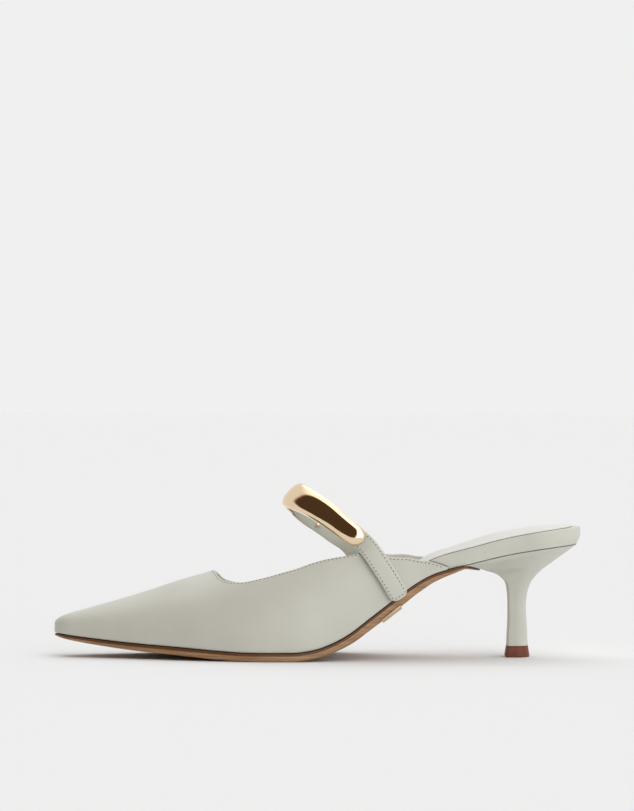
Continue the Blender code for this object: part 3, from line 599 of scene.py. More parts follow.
def loft_pairs(levels, slots=None):
    """Skin a stack of outlines, each a lateral and a medial row, and cap both ends."""
    bm = bmesh.new()
    rows = []
    for lateral, medial in levels:
        rows.append([[bm.verts.new(p) for p in lateral], [bm.verts.new(p) for p in medial]])
    count = len(rows[0][0])
    for number, (lower, upper) in enumerate(zip(rows, rows[1:])):
        slot = slots[number] if slots else 0
        for side in (0, 1):
            for i in range(count - 1):
                add_face(bm, (lower[side][i], lower[side][i + 1],
                              upper[side][i + 1], upper[side][i]), slot)
        for i in (0, count - 1):
            add_face(bm, (lower[0][i], lower[1][i], upper[1][i], upper[0][i]), slot)
    for number, level in ((0, rows[0]), (-1, rows[-1])):
        slot = slots[number] if slots else 0
        for i in range(count - 1):
            add_face(bm, (level[0][i], level[0][i + 1], level[1][i + 1], level[1][i]), slot)
    bmesh.ops.remove_doubles(bm, verts=bm.verts, dist=MERGE_DISTANCE)
    return turned_outward(bm)


def skin_rings(bm, rings):
    """Faces between closed rings of vertices, with a cap at each end."""
    count = len(rings[0])
    for lower, upper in zip(rings, rings[1:]):
        for k in range(count):
            nxt = (k + 1) % count
            add_face(bm, (lower[k], lower[nxt], upper[nxt], upper[k]))
    bm.faces.new(rings[0][::-1])
    bm.faces.new(rings[-1])


def add_piece(name, bm, materials, sharp_degrees=180.0):
    """Put a bmesh into the scene as a smooth piece that rides on the shoe."""
    mesh = bpy.data.meshes.new(name)
    bm.to_mesh(mesh)
    bm.free()
    for material in materials:
        mesh.materials.append(material)
    mesh.shade_smooth()
    if sharp_degrees < 180.0:
        mesh.set_sharp_from_angle(angle=math.radians(sharp_degrees))
    piece = bpy.data.objects.new(name, mesh)
    bpy.context.scene.collection.objects.link(piece)
    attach(piece, "root")
    return piece


# Materials
def new_material(name):
    material = bpy.data.materials.new(name)
    material.use_nodes = True
    tree = material.node_tree
    return material, tree, tree.nodes["Principled BSDF"]


def noise(tree, scale, detail=4.0, roughness=0.55):
    coords = tree.nodes.new("ShaderNodeTexCoord")
    node = tree.nodes.new("ShaderNodeTexNoise")
    node.inputs["Scale"].default_value = scale
    node.inputs["Detail"].default_value = detail
    node.inputs["Roughness"].default_value = roughness
    tree.links.new(coords.outputs["Object"], node.inputs["Vector"])
    return node


def ramp(tree, source, low, high, start=0.35, end=0.65):
    node = tree.nodes.new("ShaderNodeValToRGB")
    node.color_ramp.elements[0].position = start
    node.color_ramp.elements[0].color = (*low, 1.0)
    node.color_ramp.elements[1].position = end
    node.color_ramp.elements[1].color = (*high, 1.0)
    tree.links.new(source, node.inputs["Fac"])
    return node


def add_bump(tree, shader, sources, distance):
    """Chain bumps, each a height output and its strength."""
    previous = None
    for height, strength in sources:
        node = tree.nodes.new("ShaderNodeBump")
        node.inputs["Strength"].default_value = strength
        node.inputs["Distance"].default_value = distance
        tree.links.new(height, node.inputs["Height"])
        if previous is not None:
            tree.links.new(previous.outputs["Normal"], node.inputs["Normal"])
        previous = node
    tree.links.new(previous.outputs["Normal"], shader.inputs["Normal"])


def leather(name, color, spread, roughness, grain_scale, grain_strength):
    """Smooth finished leather: a fine pebbled grain, faint mottling and a soft gloss."""
    material, tree, shader = new_material(name)
    low = tuple(c * (1.0 - spread) for c in color)
    high = tuple(min(c * (1.0 + spread), 1.0) for c in color)
    mottle = noise(tree, 38.0, 3.0)
    tint = ramp(tree, mottle.outputs["Fac"], low, high)
    tree.links.new(tint.outputs["Color"], shader.inputs["Base Color"])
    coords = tree.nodes.new("ShaderNodeTexCoord")
    pebble = tree.nodes.new("ShaderNodeTexVoronoi")
    pebble.feature = "SMOOTH_F1"
    pebble.inputs["Scale"].default_value = grain_scale
    tree.links.new(coords.outputs["Object"], pebble.inputs["Vector"])
    fine = noise(tree, grain_scale * 2.4, 3.0)
    wave = noise(tree, 60.0, 2.0)
    add_bump(tree, shader, ((pebble.outputs["Distance"], grain_strength),
                            (fine.outputs["Fac"], grain_strength * 0.6),
                            (wave.outputs["Fac"], grain_strength * 0.5)), 0.0002)
    gloss = ramp(tree, fine.outputs["Fac"], (roughness - 0.05,) * 3, (roughness + 0.06,) * 3)
    tree.links.new(gloss.outputs["Color"], shader.inputs["Roughness"])
    shader.inputs["Coat Weight"].default_value = 0.12
    shader.inputs["Coat Roughness"].default_value = 0.35
    return material


def sole_leather():
    """Tan sole edge with fine lengthwise layers."""
    material, tree, shader = new_material("sole_tan")
    coords = tree.nodes.new("ShaderNodeTexCoord")
    stretch = tree.nodes.new("ShaderNodeMapping")
    stretch.inputs["Scale"].default_value = (40.0, 40.0, 900.0)
    grain = tree.nodes.new("ShaderNodeTexNoise")
    grain.inputs["Scale"].default_value = 1.0
    grain.inputs["Detail"].default_value = 3.0
    tree.links.new(coords.outputs["Object"], stretch.inputs["Vector"])
    tree.links.new(stretch.outputs["Vector"], grain.inputs["Vector"])
    tint = ramp(tree, grain.outputs["Fac"], (0.28, 0.145, 0.062), (0.43, 0.255, 0.128))
    tree.links.new(tint.outputs["Color"], shader.inputs["Base Color"])
    shader.inputs["Roughness"].default_value = 0.42
    shader.inputs["Coat Weight"].default_value = 0.2
    shader.inputs["Coat Roughness"].default_value = 0.25
    fine = noise(tree, 900.0, 3.0)
    add_bump(tree, shader, ((grain.outputs["Fac"], 0.25), (fine.outputs["Fac"], 0.2)), 0.0001)
    return material


def plain(name, color, roughness, metallic=0.0, speckle=0.06, scale=500.0, bump=0.15):
    material, tree, shader = new_material(name)
    low = tuple(c * (1.0 - speckle) for c in color)
    high = tuple(min(c * (1.0 + speckle), 1.0) for c in color)
    grain = noise(tree, scale, 3.0)
    tint = ramp(tree, grain.outputs["Fac"], low, high)
    tree.links.new(tint.outputs["Color"], shader.inputs["Base Color"])
    shader.inputs["Roughness"].default_value = roughness
    shader.inputs["Metallic"].default_value = metallic
    add_bump(tree, shader, ((grain.outputs["Fac"], bump),), 0.0001)
    return material


def gold_metal():
    """Polished pale gold: nearly mirror smooth, with a breath of wear in its gloss."""
    material, tree, shader = new_material("gold_metal")
    cloud = noise(tree, 55.0, 3.0)
    tint = ramp(tree, cloud.outputs["Fac"], (0.83, 0.64, 0.42), (0.87, 0.69, 0.47))
    tree.links.new(tint.outputs["Color"], shader.inputs["Base Color"])
    gloss = ramp(tree, cloud.outputs["Fac"], (0.05,) * 3, (0.09,) * 3)
    tree.links.new(gloss.outputs["Color"], shader.inputs["Roughness"])
    shader.inputs["Metallic"].default_value = 1.0
    scratch = noise(tree, 1400.0, 2.0)
    add_bump(tree, shader, ((scratch.outputs["Fac"], 0.03),), 0.00005)
    return material


UPPER_COLOR = (0.570, 0.572, 0.502)
SOCK_COLOR = (0.720, 0.715, 0.680)
LEATHER = leather("upper_leather", UPPER_COLOR, 0.025, 0.42, 1500.0, 0.10)
LINING = leather("lining_leather", (0.640, 0.630, 0.570), 0.02, 0.50, 1300.0, 0.12)
SOCK_LEATHER = leather("sock_leather", SOCK_COLOR, 0.02, 0.48, 1500.0, 0.10)
THREAD = plain("thread", (0.620, 0.610, 0.540), 0.60, scale=2500.0)
# Painted shade: one dark colour for the shade inside needle holes and for shadowed joints
PAINTED_SHADE = plain("painted_shade_dark", (0.16, 0.15, 0.12), 0.80)
SOLE_TAN = sole_leather()
# Top band of the sole's edge: dark brown stain, darkened further as painted shade of the groove
# under the upper
SOLE_STAIN_AND_SHADE = plain("sole_edge_stain_and_shade", (0.115, 0.045, 0.013), 0.55, speckle=0.15)
TIP_RUBBER = plain("heel_tip_rubber", (0.160, 0.042, 0.012), 0.60, speckle=0.12)
GOLD = gold_metal()


# Small repeated shapes
def beads(name, frames, length, radius, flat, material):
    """Join many small rounded stitches, each with a centre, a direction and an outward."""
    bm = bmesh.new()
    around = 8
    along = 6
    for centre, direction, out in frames:
        direction = direction.normalized()
        out = (out - direction * out.dot(direction)).normalized()
        side = direction.cross(out)
        rings = []
        for j in range(1, along):
            turn = math.pi * j / along
            place = -math.cos(turn) * length / 2.0
            size = math.sin(turn) ** 0.45 * radius
            ring = []
            for k in range(around):
                angle = 2.0 * math.pi * k / around
                shift = side * (math.cos(angle) * size) + out * (math.sin(angle) * size * flat)
                ring.append(bm.verts.new(centre + direction * place + shift))
            rings.append(ring)
        skin_rings(bm, rings)
    bmesh.ops.recalc_face_normals(bm, faces=bm.faces)
    return add_piece(name, bm, [material])


def walk(points, pitch, start=0.0):
    """Evenly spaced places on a polyline: the segment's number and the share along it."""
    places = []
    goal = start
    travelled = 0.0
    for i in range(len(points) - 1):
        length = (points[i + 1] - points[i]).length
        while length > 0.0 and goal <= travelled + length:
            places.append((i, (goal - travelled) / length))
            goal += pitch
        travelled += length
    return places


def stitch_row(name, points, outs):
    """One row of stitches with a dark bead between each pair, the painted shade of a needle
    hole.
    """
    threads = []
    hole_shades = []
    for i, share in walk(points, STITCH_PITCH, STITCH_PITCH / 2.0):
        centre = points[i].lerp(points[i + 1], share)
        out = outs[i].lerp(outs[i + 1], share).normalized()
        direction = points[i + 1] - points[i]
        threads.append((centre - out * STITCH_RADIUS * STITCH_SINK_SHARE, direction, out))
        ahead = direction.normalized() * STITCH_PITCH / 2.0
        hole_shades.append((centre + ahead, direction, out))
    beads(name, threads, STITCH_LENGTH, STITCH_RADIUS, STITCH_FLATNESS, THREAD)
    beads(name + "_hole_shades", hole_shades, HOLE_RADIUS * 2.0, HOLE_RADIUS, HOLE_FLATNESS, PAINTED_SHADE)


def painted_shadow_line(name, points, radius):
    """One thin dark cord of painted shadow, laid in a joint that falls into shade."""
    bm = bmesh.new()
    around = 6
    rings = []
    last = len(points) - 1
    for i, point in enumerate(points):
        direction = (points[min(i + 1, last)] - points[max(i - 1, 0)]).normalized()
        side = direction.cross(Vector((0.0, 0.0, 1.0))).normalized()
        over = side.cross(direction)
        ring = []
        for k in range(around):
            angle = 2.0 * math.pi * k / around
            shift = side * (math.cos(angle) * radius) + over * (math.sin(angle) * radius)
            ring.append(bm.verts.new(point + shift))
        rings.append(ring)
    skin_rings(bm, rings)
    bmesh.ops.recalc_face_normals(bm, faces=bm.faces)
    return add_piece(name, bm, [PAINTED_SHADE])


# Upper
def upper_places():
    tail = TOPLINE[-1].station * SHOE_LENGTH
    throat = TOPLINE[0].station * SHOE_LENGTH
    corner = THROAT_CORNER * SHOE_LENGTH
    places = []
    for i in range(14):
        places.append(TOE_LENGTH * (1.0 - math.cos(math.pi / 2.0 * i / 14)))
    places += list(np.linspace(TOE_LENGTH, throat - THROAT_EASE, 34))
    places += list(throat - THROAT_EASE + THROAT_EASE * np.linspace(0.25, 1.0, 4))
    places += [throat + (corner - throat) * (i / 26) ** 1.7 for i in range(1, 27)]
    places += list(np.linspace(corner, tail, 52))[1:]
    return places


def build_upper():
    """Vamp and wings as one folded wall, with a rounded top line."""
    places = upper_places()
    girth = 26
    bm = bmesh.new()
    for side in (LATERAL, MEDIAL):
        columns = []
        for distance in places:
            top = top_at[side](distance / SHOE_LENGTH)
            column = [bm.verts.new(upper_point(distance, side, top * k / girth))
                      for k in range(girth + 1)]
            columns.append(column)
        for front, back in zip(columns, columns[1:]):
            for k in range(girth):
                corners = (front[k], back[k], back[k + 1], front[k + 1])
                add_face(bm, corners if side == LATERAL else corners[::-1])
    bmesh.ops.remove_doubles(bm, verts=bm.verts, dist=MERGE_DISTANCE)
    piece = add_piece("upper_shell", bm, [LEATHER, LINING])
    wall = piece.modifiers.new("wall", "SOLIDIFY")
    wall.thickness = UPPER_WALL
    wall.offset = -1.0
    wall.use_rim = True
    wall.material_offset = 1
    smooth = piece.modifiers.new("smooth", "SUBSURF")
    smooth.levels = 1
    smooth.render_levels = 1
    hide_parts("upper")


def upper_edge(side, inset):
    """Points and outward normals on the upper, an inset below the top line."""
    start = TOPLINE[0].station * SHOE_LENGTH
    tail = STITCH_TAIL * SHOE_LENGTH
    count = 420
    edge = []
    for i in range(count + 1):
        distance = start + (tail - start) * (i / count) ** 2.2
        edge.append((distance, top_at[side](distance / SHOE_LENGTH)))
    points = []
    outs = []
    for i, (distance, turn) in enumerate(edge):
        turn = min(turn, 0.985)
        point = upper_point(distance, side, turn)
        before = edge[max(i - 1, 0)]
        after = edge[min(i + 1, count)]
        tangent = upper_point(after[0], side, after[1]) - upper_point(before[0], side, before[1])
        normal = upper_normal(distance, side, min(turn, 0.98))
        away = normal.cross(tangent).normalized()
        if away.z > 0.0:
            away.negate()
        points.append(point + away * inset)
        outs.append(normal)
    return points, outs


def build_upper_stitches():
    for name, side in (("topline_stitch_lateral", LATERAL), ("topline_stitch_medial", MEDIAL)):
        points, outs = upper_edge(side, STITCH_INSET)
        stitch_row(name, points, outs)


def build_tail_shadow_lines():
    """Painted shadow: a thin dark cord in the joint where each wing runs out against the rand.
    """
    for name, side in (("tail_shadow_lateral", LATERAL), ("tail_shadow_medial", MEDIAL)):
        points = []
        for station in np.linspace(TAIL_SHADOW_START, TOPLINE[-1].station, 40):
            distance = float(station) * SHOE_LENGTH
            turn = top_at[side](float(station))
            inward = upper_normal(distance, side, turn) * (UPPER_WALL + FIT_GAP / 2.0)
            point = upper_point(distance, side, turn) - inward
            points.append(point + Vector((0.0, 0.0, TAIL_SHADOW_RISE)))
        painted_shadow_line(name, points, TAIL_SHADOW_RADIUS)


# Sole, insole and sock
def build_outsole():
    end = TONGUE_START + TONGUE_LENGTH
    places = [d for d in stations(0.0, OUTER_LENGTH, 16, 110, 12) if d < TONGUE_START]
    places += [TONGUE_START + TONGUE_LENGTH * math.sin(math.pi / 2.0 * i / 16)
               for i in range(17)]

    def level(inset, share_of_band, below_band):
        outline = plan_loop(places, 0.0, end, TONGUE_LENGTH, inset)

        def height(distance):
            depth = outsole_depth(distance)
            band = min(WELT_BAND, depth * THIN_BAND_SHARE)
            return outsole_top(distance) - band * share_of_band - (depth - band) * below_band

        return lift(outline, height)

    bevel_from = 1.0 - EDGE_BEVEL_HEIGHT / (OUTSOLE_THICKNESS - WELT_BAND)
    levels = [
        level(WELT_RECESS + WELT_STEP, 0.0, 0.0),
        level(WELT_RECESS, 0.15, 0.0),
        level(WELT_RECESS, 0.98, 0.0),
        level(WELT_RECESS * 0.35, 1.0, 0.0),
        level(0.0, 1.0, 0.10),
        level(0.0, 1.0, 0.36),
        level(EDGE_GROOVE, 1.0, 0.40),
        level(0.0, 1.0, 0.44),
        level(0.0, 1.0, bevel_from - 0.04),
        level(EDGE_BEVEL * 0.25, 1.0, mix(bevel_from, 1.0, 0.40)),
        level(EDGE_BEVEL * 0.70, 1.0, 0.96),
        level(EDGE_BEVEL * 1.3, 1.0, 1.0),
        level(EDGE_BEVEL * 3.0, 1.0, 1.0),
    ]
    # The three top levels take the dark band: stain plus painted shade under the upper's edge
    slots = [1, 1, 1] + [0] * 9
    piece = add_piece("outsole_skin", loft_pairs(levels, slots), [SOLE_TAN, SOLE_STAIN_AND_SHADE],
                      50.0)
    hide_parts("outsole")


def build_insole():
    places = stations(INSOLE_SETBACK, OUTER_LENGTH, 12, 90, 28)

    def outline(inset):
        return plan_loop(places, INSOLE_SETBACK, OUTER_LENGTH, SEAT_ROUND, SHELL_INSET + inset)

    def belly(distance, share):
        return mix(insole_bottom(distance), insole_top(distance), share)

    levels = [lift(seat_tuck(outline(RAND_ROUND), RAND_TUCK), insole_bottom)]
    for turn in (30.0, 60.0, 90.0):
        inset = RAND_ROUND * 0.4 * (1.0 - math.sin(math.radians(turn)))
        rise = RAND_ROUND * 0.4 * (1.0 - math.cos(math.radians(turn)))
        tucked = seat_tuck(outline(inset), RAND_TUCK)
        levels.append(lift(tucked, lambda d, r=rise: insole_bottom(d) + r))
    for step in range(1, 7):
        share = step / 6.0
        tucked = seat_tuck(outline(0.0), RAND_TUCK * (1.0 - share) ** 2)
        height = RAND_BELLY_SHARE * mix(0.12, 1.0, share)
        levels.append(lift(tucked, lambda d, h=height: belly(d, h)))
    for turn in (0.0, 22.5, 45.0, 67.5, 90.0):
        inset = RAND_ROUND * (1.0 - math.cos(math.radians(turn)))
        drop = RAND_ROUND * (1.0 - math.sin(math.radians(turn)))
        levels.append(lift(outline(inset), lambda d, r=drop: insole_top(d) - r))
    levels.append(lift(outline(RAND_ROUND * 3.0), insole_top))
    piece = add_piece("insole_rand", loft_pairs(levels), [LEATHER], 60.0)
    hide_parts("insole")


def build_sock():
    crown_at = softened(SOCK_PAD, "station", "crown", SOCK_EASE)
    end = OUTER_LENGTH - SOCK_HEEL_INSET
    places = stations(SOCK_SETBACK, end, 12, 90, 28)
    outline = plan_loop(places, SOCK_SETBACK, end, SEAT_ROUND, SHELL_INSET + SOCK_INSET)

    def crown_of(distance):
        station = distance / SHOE_LENGTH
        if station < SOCK_PAD[0].station:
            return 0.0
        return max(crown_at(station), 0.0)

    base = [(x, insole_top(x) + FIT_GAP * 0.4) for x in np.linspace(0.0, OUTER_LENGTH, 900)]
    xs = np.array([b[0] for b in base])
    zs = np.array([b[1] for b in base])

    def floor(distance):
        return float(np.interp(distance, xs, zs))

    levels = [lift(outline, floor)]
    edge = ((1.0, 0.45), (0.995, 0.75), (0.985, 0.95), (0.97, 1.0))
    for share, thick in edge:
        drawn = narrow(outline, share)
        levels.append(lift(drawn, lambda d, t=thick: floor(d) + SOCK_THICKNESS * t))
    for share in (0.93, 0.86, 0.76, 0.64, 0.50, 0.36, 0.22, 0.10):
        crown = 1.0 - (share / 0.97) ** 2.4

        def height(distance, crown=crown):
            return floor(distance) + SOCK_THICKNESS + SOCK_CROWN * crown_of(distance) * crown

        levels.append(lift(narrow(outline, share), height))
    piece = add_piece("sock_lining", loft_pairs(levels), [SOCK_LEATHER], 70.0)
    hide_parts("sock")
    one_side, other_side = levels[0]
    round_the_heel = list(one_side) + list(other_side)[-2::-1]
    # Painted shadow: a dark cord along the shaded joint between the sock's edge and the rand
    painted_shadow_line("sock_joint_shadow", round_the_heel, SOCK_SHADOW_RADIUS)


# Heel
def heel_ring(front, back, half, rear_round, corner, middle):
    """Lateral and medial rows of one heel section, square in front and round behind."""
    shares = [CORNER_RUN_SHARE * run for run in (0.0, 0.06, 0.2, 0.5, 1.0)]
    shares += [mix(CORNER_RUN_SHARE, 1.0 - rear_round, i / 8) for i in range(1, 9)]
    shares += [1.0 - rear_round * (1.0 - math.sin(math.pi / 2.0 * i / 16)) for i in range(1, 17)]
    lateral = []
    medial = []
    for share in shares:
        x = mix(front[0], back[0], share)
        z = mix(front[1], back[1], share)
        width = half(x) * quarter_round((1.0 - share) / rear_round)
        width *= mix(corner, 1.0, quarter_round(share / CORNER_RUN_SHARE))
        lateral.append(np.array((TOE_X + x, middle(x) - width, z)))
        medial.append(np.array((TOE_X + x, middle(x) + width, z)))
    return np.array([lateral, medial])


def build_heel():
    foot = HEEL_TIP_HEIGHT + FIT_GAP * 0.5
    seat_back_height = feather_height(SHOE_LENGTH)
    seat_front_height = feather_height(HEEL_FRONT)
    stem_middle = SHOE_LENGTH - HEEL_SETBACK
    stem_front = stem_middle - STEM_DEPTH / 2.0
    stem_back = stem_middle + STEM_DEPTH / 2.0
    seat_half = SEAT_WIDTH / 2.0 - SHELL_INSET
    stem_half = STEM_WIDTH / 2.0

    def back_point(row):
        height = mix(foot, seat_back_height, row.back_height)
        return mix(stem_back, SHOE_LENGTH, row.back), height

    top = heel_ring((HEEL_FRONT, 0.0), (SHOE_LENGTH, 0.0),
                    lambda d: half_width(d) - SHELL_INSET,
                    (SEAT_ROUND - SHELL_INSET) / HEEL_SEAT_LENGTH, 1.0, swing)
    rows = [[(point[0] - TOE_X, point[1]) for point in side] for side in top]
    rings = [np.array(lift(seat_tuck(rows, RAND_TUCK), feather_height))]
    for row in HEEL_LIPS:
        x = HEEL_FRONT + row.behind
        front = (x, outsole_top(x) + FIT_GAP)
        back = back_point(row)
        width = mix(stem_half, seat_half, row.width)
        rings.append(heel_ring(front, back, lambda d, w=width: w, LIP_ROUND_SHARE, 1.0,
                               lambda d, s=row.width: swing(d) * s))
    for row in HEEL_RINGS:
        front = (mix(stem_front, HEEL_FRONT, row.front),
                 mix(foot, seat_front_height, row.front_height))
        back = back_point(row)
        width = mix(stem_half, seat_half, row.width)
        rings.append(heel_ring(front, back, lambda d, w=width: w, STEM_ROUND_SHARE, row.corner,
                               lambda d, s=row.width: swing(d) * max(s, 0.0)))
    rings = np.array(rings)
    levels = []
    steps = 6
    for i in range(len(rings) - 1):
        before = rings[max(i - 1, 0)]
        after = rings[min(i + 2, len(rings) - 1)]
        for k in range(steps):
            u = k / steps
            if i <= len(HEEL_LIPS):
                levels.append(mix(rings[i], rings[i + 1], u))
                continue
            start_pull = (rings[i + 1] - before) / 2.0
            end_pull = (after - rings[i]) / 2.0
            level = (2 * u ** 3 - 3 * u ** 2 + 1) * rings[i]
            level += (u ** 3 - 2 * u ** 2 + u) * start_pull
            level += (3 * u ** 2 - 2 * u ** 3) * rings[i + 1]
            level += (u ** 3 - u ** 2) * end_pull
            levels.append(level)
    levels.append(rings[-1])
    levels = [[[Vector(p) for p in side] for side in level] for level in levels]
    piece = add_piece("heel_cover", loft_pairs(levels), [LEATHER], 55.0)
    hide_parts("heel")


def build_heel_tip():
    stem_middle = SHOE_LENGTH - HEEL_SETBACK
    rows = ((0.0, HEEL_TIP_FLARE), (0.04, HEEL_TIP_FLARE * 1.7), (0.10, HEEL_TIP_FLARE * 2.0),
            (0.86, HEEL_TIP_FLARE * 0.35), (0.90, HEEL_TIP_FLARE * 0.05),
            (0.93, HEEL_TIP_FLARE * 0.3), (1.0, 0.0))
    levels = []
    for share, flare in rows:
        half = STEM_WIDTH / 2.0 + flare
        reach = STEM_DEPTH / 2.0 + flare
        height = HEEL_TIP_HEIGHT * share
        ring = heel_ring((stem_middle - reach, height), (stem_middle + reach, height),
                         lambda d, w=half: w, STEM_ROUND_SHARE, TIP_CORNER_SHARE,
                         lambda d: 0.0)
        levels.append([[Vector(p) for p in side] for side in ring])
    piece = add_piece("heel_tip_block", loft_pairs(levels), [TIP_RUBBER], 40.0)
    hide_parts("heel_tip")


# Strap and ornament
def natural_spline(values):
    """Smooth curve through rows of numbers, one row at each whole number."""
    values = np.array(values)
    count = len(values)
    matrix = np.eye(count)
    right = np.zeros_like(values)
    for i in range(1, count - 1):
        matrix[i, i - 1:i + 2] = (1.0, 4.0, 1.0)
        right[i] = 6.0 * (values[i - 1] - 2.0 * values[i] + values[i + 1])
    bends = np.linalg.solve(matrix, right)

    def value(place):
        i = min(int(place), count - 2)
        u = place - i
        v = 1.0 - u
        straight = v * values[i] + u * values[i + 1]
        return straight + ((v ** 3 - v) * bends[i] + (u ** 3 - u) * bends[i + 1]) / 6.0

    return value


StrapPath = namedtuple("StrapPath", "spots facings widths lengths crest")


def strap_frames():
    """Sample the strap's middle line, which lies on the wings and spans between them."""
    tab_z = feather_height(STRAP_TAB) - STRAP_TAB_DROP
    points = []
    normals = []
    for row in STRAP:
        x = STRAP_TAB - STRAP_LEAN * row.forward
        z = tab_z + STRAP_RISE * row.up
        side = LATERAL if row.across < 0.0 else MEDIAL
        if row.held > 0.0:
            turn = turn_at_height(x, side, max(z, feather_height(x) + STRAP_LEAST_RISE))
            normals.append(upper_normal(x, side, turn))
            y = upper_point(x, side, turn).y + side * (STRAP_CLEARANCE + STRAP_THICKNESS / 2.0)
        else:
            y = STRAP_HALF_SPAN * row.across
            normals.append(None)
        points.append(Vector((TOE_X + x, y, z)))
    path = natural_spline([tuple(p) for p in points])
    guide = Vector((math.cos(STRAP_WIDTH_TILT), 0.0, math.sin(STRAP_WIDTH_TILT)))
    last = len(points) - 1
    for i in range(last + 1):
        if normals[i] is None:
            ahead = Vector(path(min(i + 0.05, last))) - Vector(path(max(i - 0.05, 0.0)))
            normals[i] = guide.cross(ahead).normalized()
            if normals[i].x > 0.0:
                normals[i].negate()
    facing_out = natural_spline([tuple(n) for n in normals])
    places = [last * i / PATH_SAMPLES for i in range(PATH_SAMPLES + 1)]
    spots = eased(np.array([path(p) for p in places]), PATH_EASE_ROWS)
    norms = eased(np.array([facing_out(p) for p in places]), PATH_EASE_ROWS)
    tangents = np.gradient(spots, axis=0)
    tangents /= np.linalg.norm(tangents, axis=1)[:, None]
    norms -= tangents * (norms * tangents).sum(1)[:, None]
    norms /= np.linalg.norm(norms, axis=1)[:, None]
    widths = np.cross(norms, tangents)
    widths *= np.sign(widths[:, 2])[:, None]
    lengths = np.concatenate(([0.0], np.cumsum(np.linalg.norm(np.diff(spots, axis=0), axis=1))))
    crest = float(np.interp(STRAP_CREST, places, lengths))
    return StrapPath(spots, norms, widths, lengths, crest)


STRAP_PATH = strap_frames()
STRAP_TOTAL = float(STRAP_PATH.lengths[-1])


def strap_at(distance):
    """Centre of the strap at a length along it, its outward and its width direction."""
    found = []
    for rows in (STRAP_PATH.spots, STRAP_PATH.facings, STRAP_PATH.widths):
        lengths = STRAP_PATH.lengths
        found.append(Vector([float(np.interp(distance, lengths, rows[:, k])) for k in range(3)]))
    for vector in found[1:]:
        vector.normalize()
    return found


def strap_half_width(distance):
    near_end = min(distance, STRAP_TOTAL - distance)
    half = STRAP_WIDTH / 2.0 - STRAP_END_RADIUS
    return half + STRAP_END_RADIUS * quarter_round(near_end / STRAP_END_RADIUS)


def build_strap():
    radius = STRAP_THICKNESS * STRAP_CORNER_SHARE
    thick = STRAP_THICKNESS / 2.0
    ends = [STRAP_END_RADIUS * (1.0 - math.cos(math.pi / 2.0 * i / 10)) for i in range(10)]
    inner = list(np.linspace(STRAP_END_RADIUS, STRAP_TOTAL - STRAP_END_RADIUS, 180))
    distances = ends + inner + [STRAP_TOTAL - d for d in reversed(ends)]
    bm = bmesh.new()
    sections = []
    for distance in distances:
        point, normal, width = strap_at(distance)
        half = strap_half_width(distance)
        section = []
        for sign_w, sign_n in ((1, 1), (1, -1), (-1, -1), (-1, 1)):
            turns = range(5) if sign_w * sign_n > 0 else range(4, -1, -1)
            for t in turns:
                angle = math.pi / 2.0 * t / 4
                w = sign_w * (half - radius + radius * math.sin(angle))
                n = sign_n * (thick - radius + radius * math.cos(angle))
                section.append(bm.verts.new(point + width * w + normal * n))
        sections.append(section)
    skin_rings(bm, sections)
    piece = add_piece("strap_band", turned_outward(bm), [LEATHER], 60.0)
    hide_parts("strap")


def build_strap_stitches():
    """One row round each leg: down an edge, across the tab's end and back up."""
    crest = STRAP_PATH.crest
    margin = STRAP_STITCH_INSET

    def outline(start, finish):
        points = []
        outs = []

        def add(distance, share):
            point, normal, width = strap_at(distance)
            half = strap_half_width(distance) - margin
            points.append(point + width * (share * half) + normal * (STRAP_THICKNESS / 2.0))
            outs.append(normal)

        run = [float(distance) for distance in np.linspace(start, finish, 160)]
        for distance in run:
            add(distance, 1.0)
        for share in np.linspace(1.0, -1.0, 12)[1:-1]:
            add(finish, float(share))
        for distance in reversed(run):
            add(distance, -1.0)
        return points, outs

    near = outline(crest - ORNAMENT_NEAR + STRAP_STITCH_START, margin)
    stitch_row("strap_stitch_near", *near)
    far = outline(crest + ORNAMENT_FAR + STRAP_STITCH_START_FAR, STRAP_TOTAL - margin)
    stitch_row("strap_stitch_far", *far)


def build_ornament():
    """Open-backed shell over the strap: an outer and an inner row at each place."""
    width_of = softened(ORNAMENT, "place", "width", SHELL_EASE)
    bulge_of = softened(ORNAMENT, "place", "bulge", SHELL_EASE)
    wrap_of = softened(ORNAMENT, "place", "wrap", WRAP_EASE)
    start = STRAP_PATH.crest - ORNAMENT_NEAR
    length = ORNAMENT_NEAR + ORNAMENT_FAR
    power = 2.0 / ORNAMENT_FULLNESS
    ends = [ORNAMENT_END * (1.002 - math.cos(math.pi / 2.0 * i / 18)) for i in range(18)]
    inner = list(np.linspace(ORNAMENT_END, length - ORNAMENT_END, 110))
    places = ends + inner[1:-1] + [length - d for d in reversed(ends)]
    levels = []
    girth = 40
    for place in places:
        point, normal, across = strap_at(start + place)
        share = place / length
        end = quarter_round(min(place, length - place) / ORNAMENT_END)
        half = ORNAMENT_WIDTH / 2.0 * width_of(share) * end
        bulge = ORNAMENT_BULGE * bulge_of(share) * end
        wrap = STRAP_THICKNESS * min(max(wrap_of(share), 0.0), 1.0) * max(end * 2.0 - 1.0, 0.0)
        base = point + normal * (STRAP_THICKNESS / 2.0 + ORNAMENT_CLEARANCE * 0.5)
        level = []
        for wall in (0.0, ORNAMENT_WALL):
            reach = max(half - wall, half * ORNAMENT_CORE_SHARE)
            height = max(bulge - wall, bulge * ORNAMENT_CORE_SHARE)
            row = [base - across * reach - normal * wrap]
            for k in range(girth + 1):
                angle = math.pi * (k / girth - 0.5)
                w = reach * math.copysign(abs(math.sin(angle)) ** power, math.sin(angle))
                n = height * max(math.cos(angle), 0.0) ** power
                row.append(base + across * w + normal * n)
            row.append(base + across * reach - normal * wrap)
            level.append(row)
        levels.append(level)
    piece = add_piece("ornament_shell", loft_pairs(levels), [GOLD], 60.0)
    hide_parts("ornament")


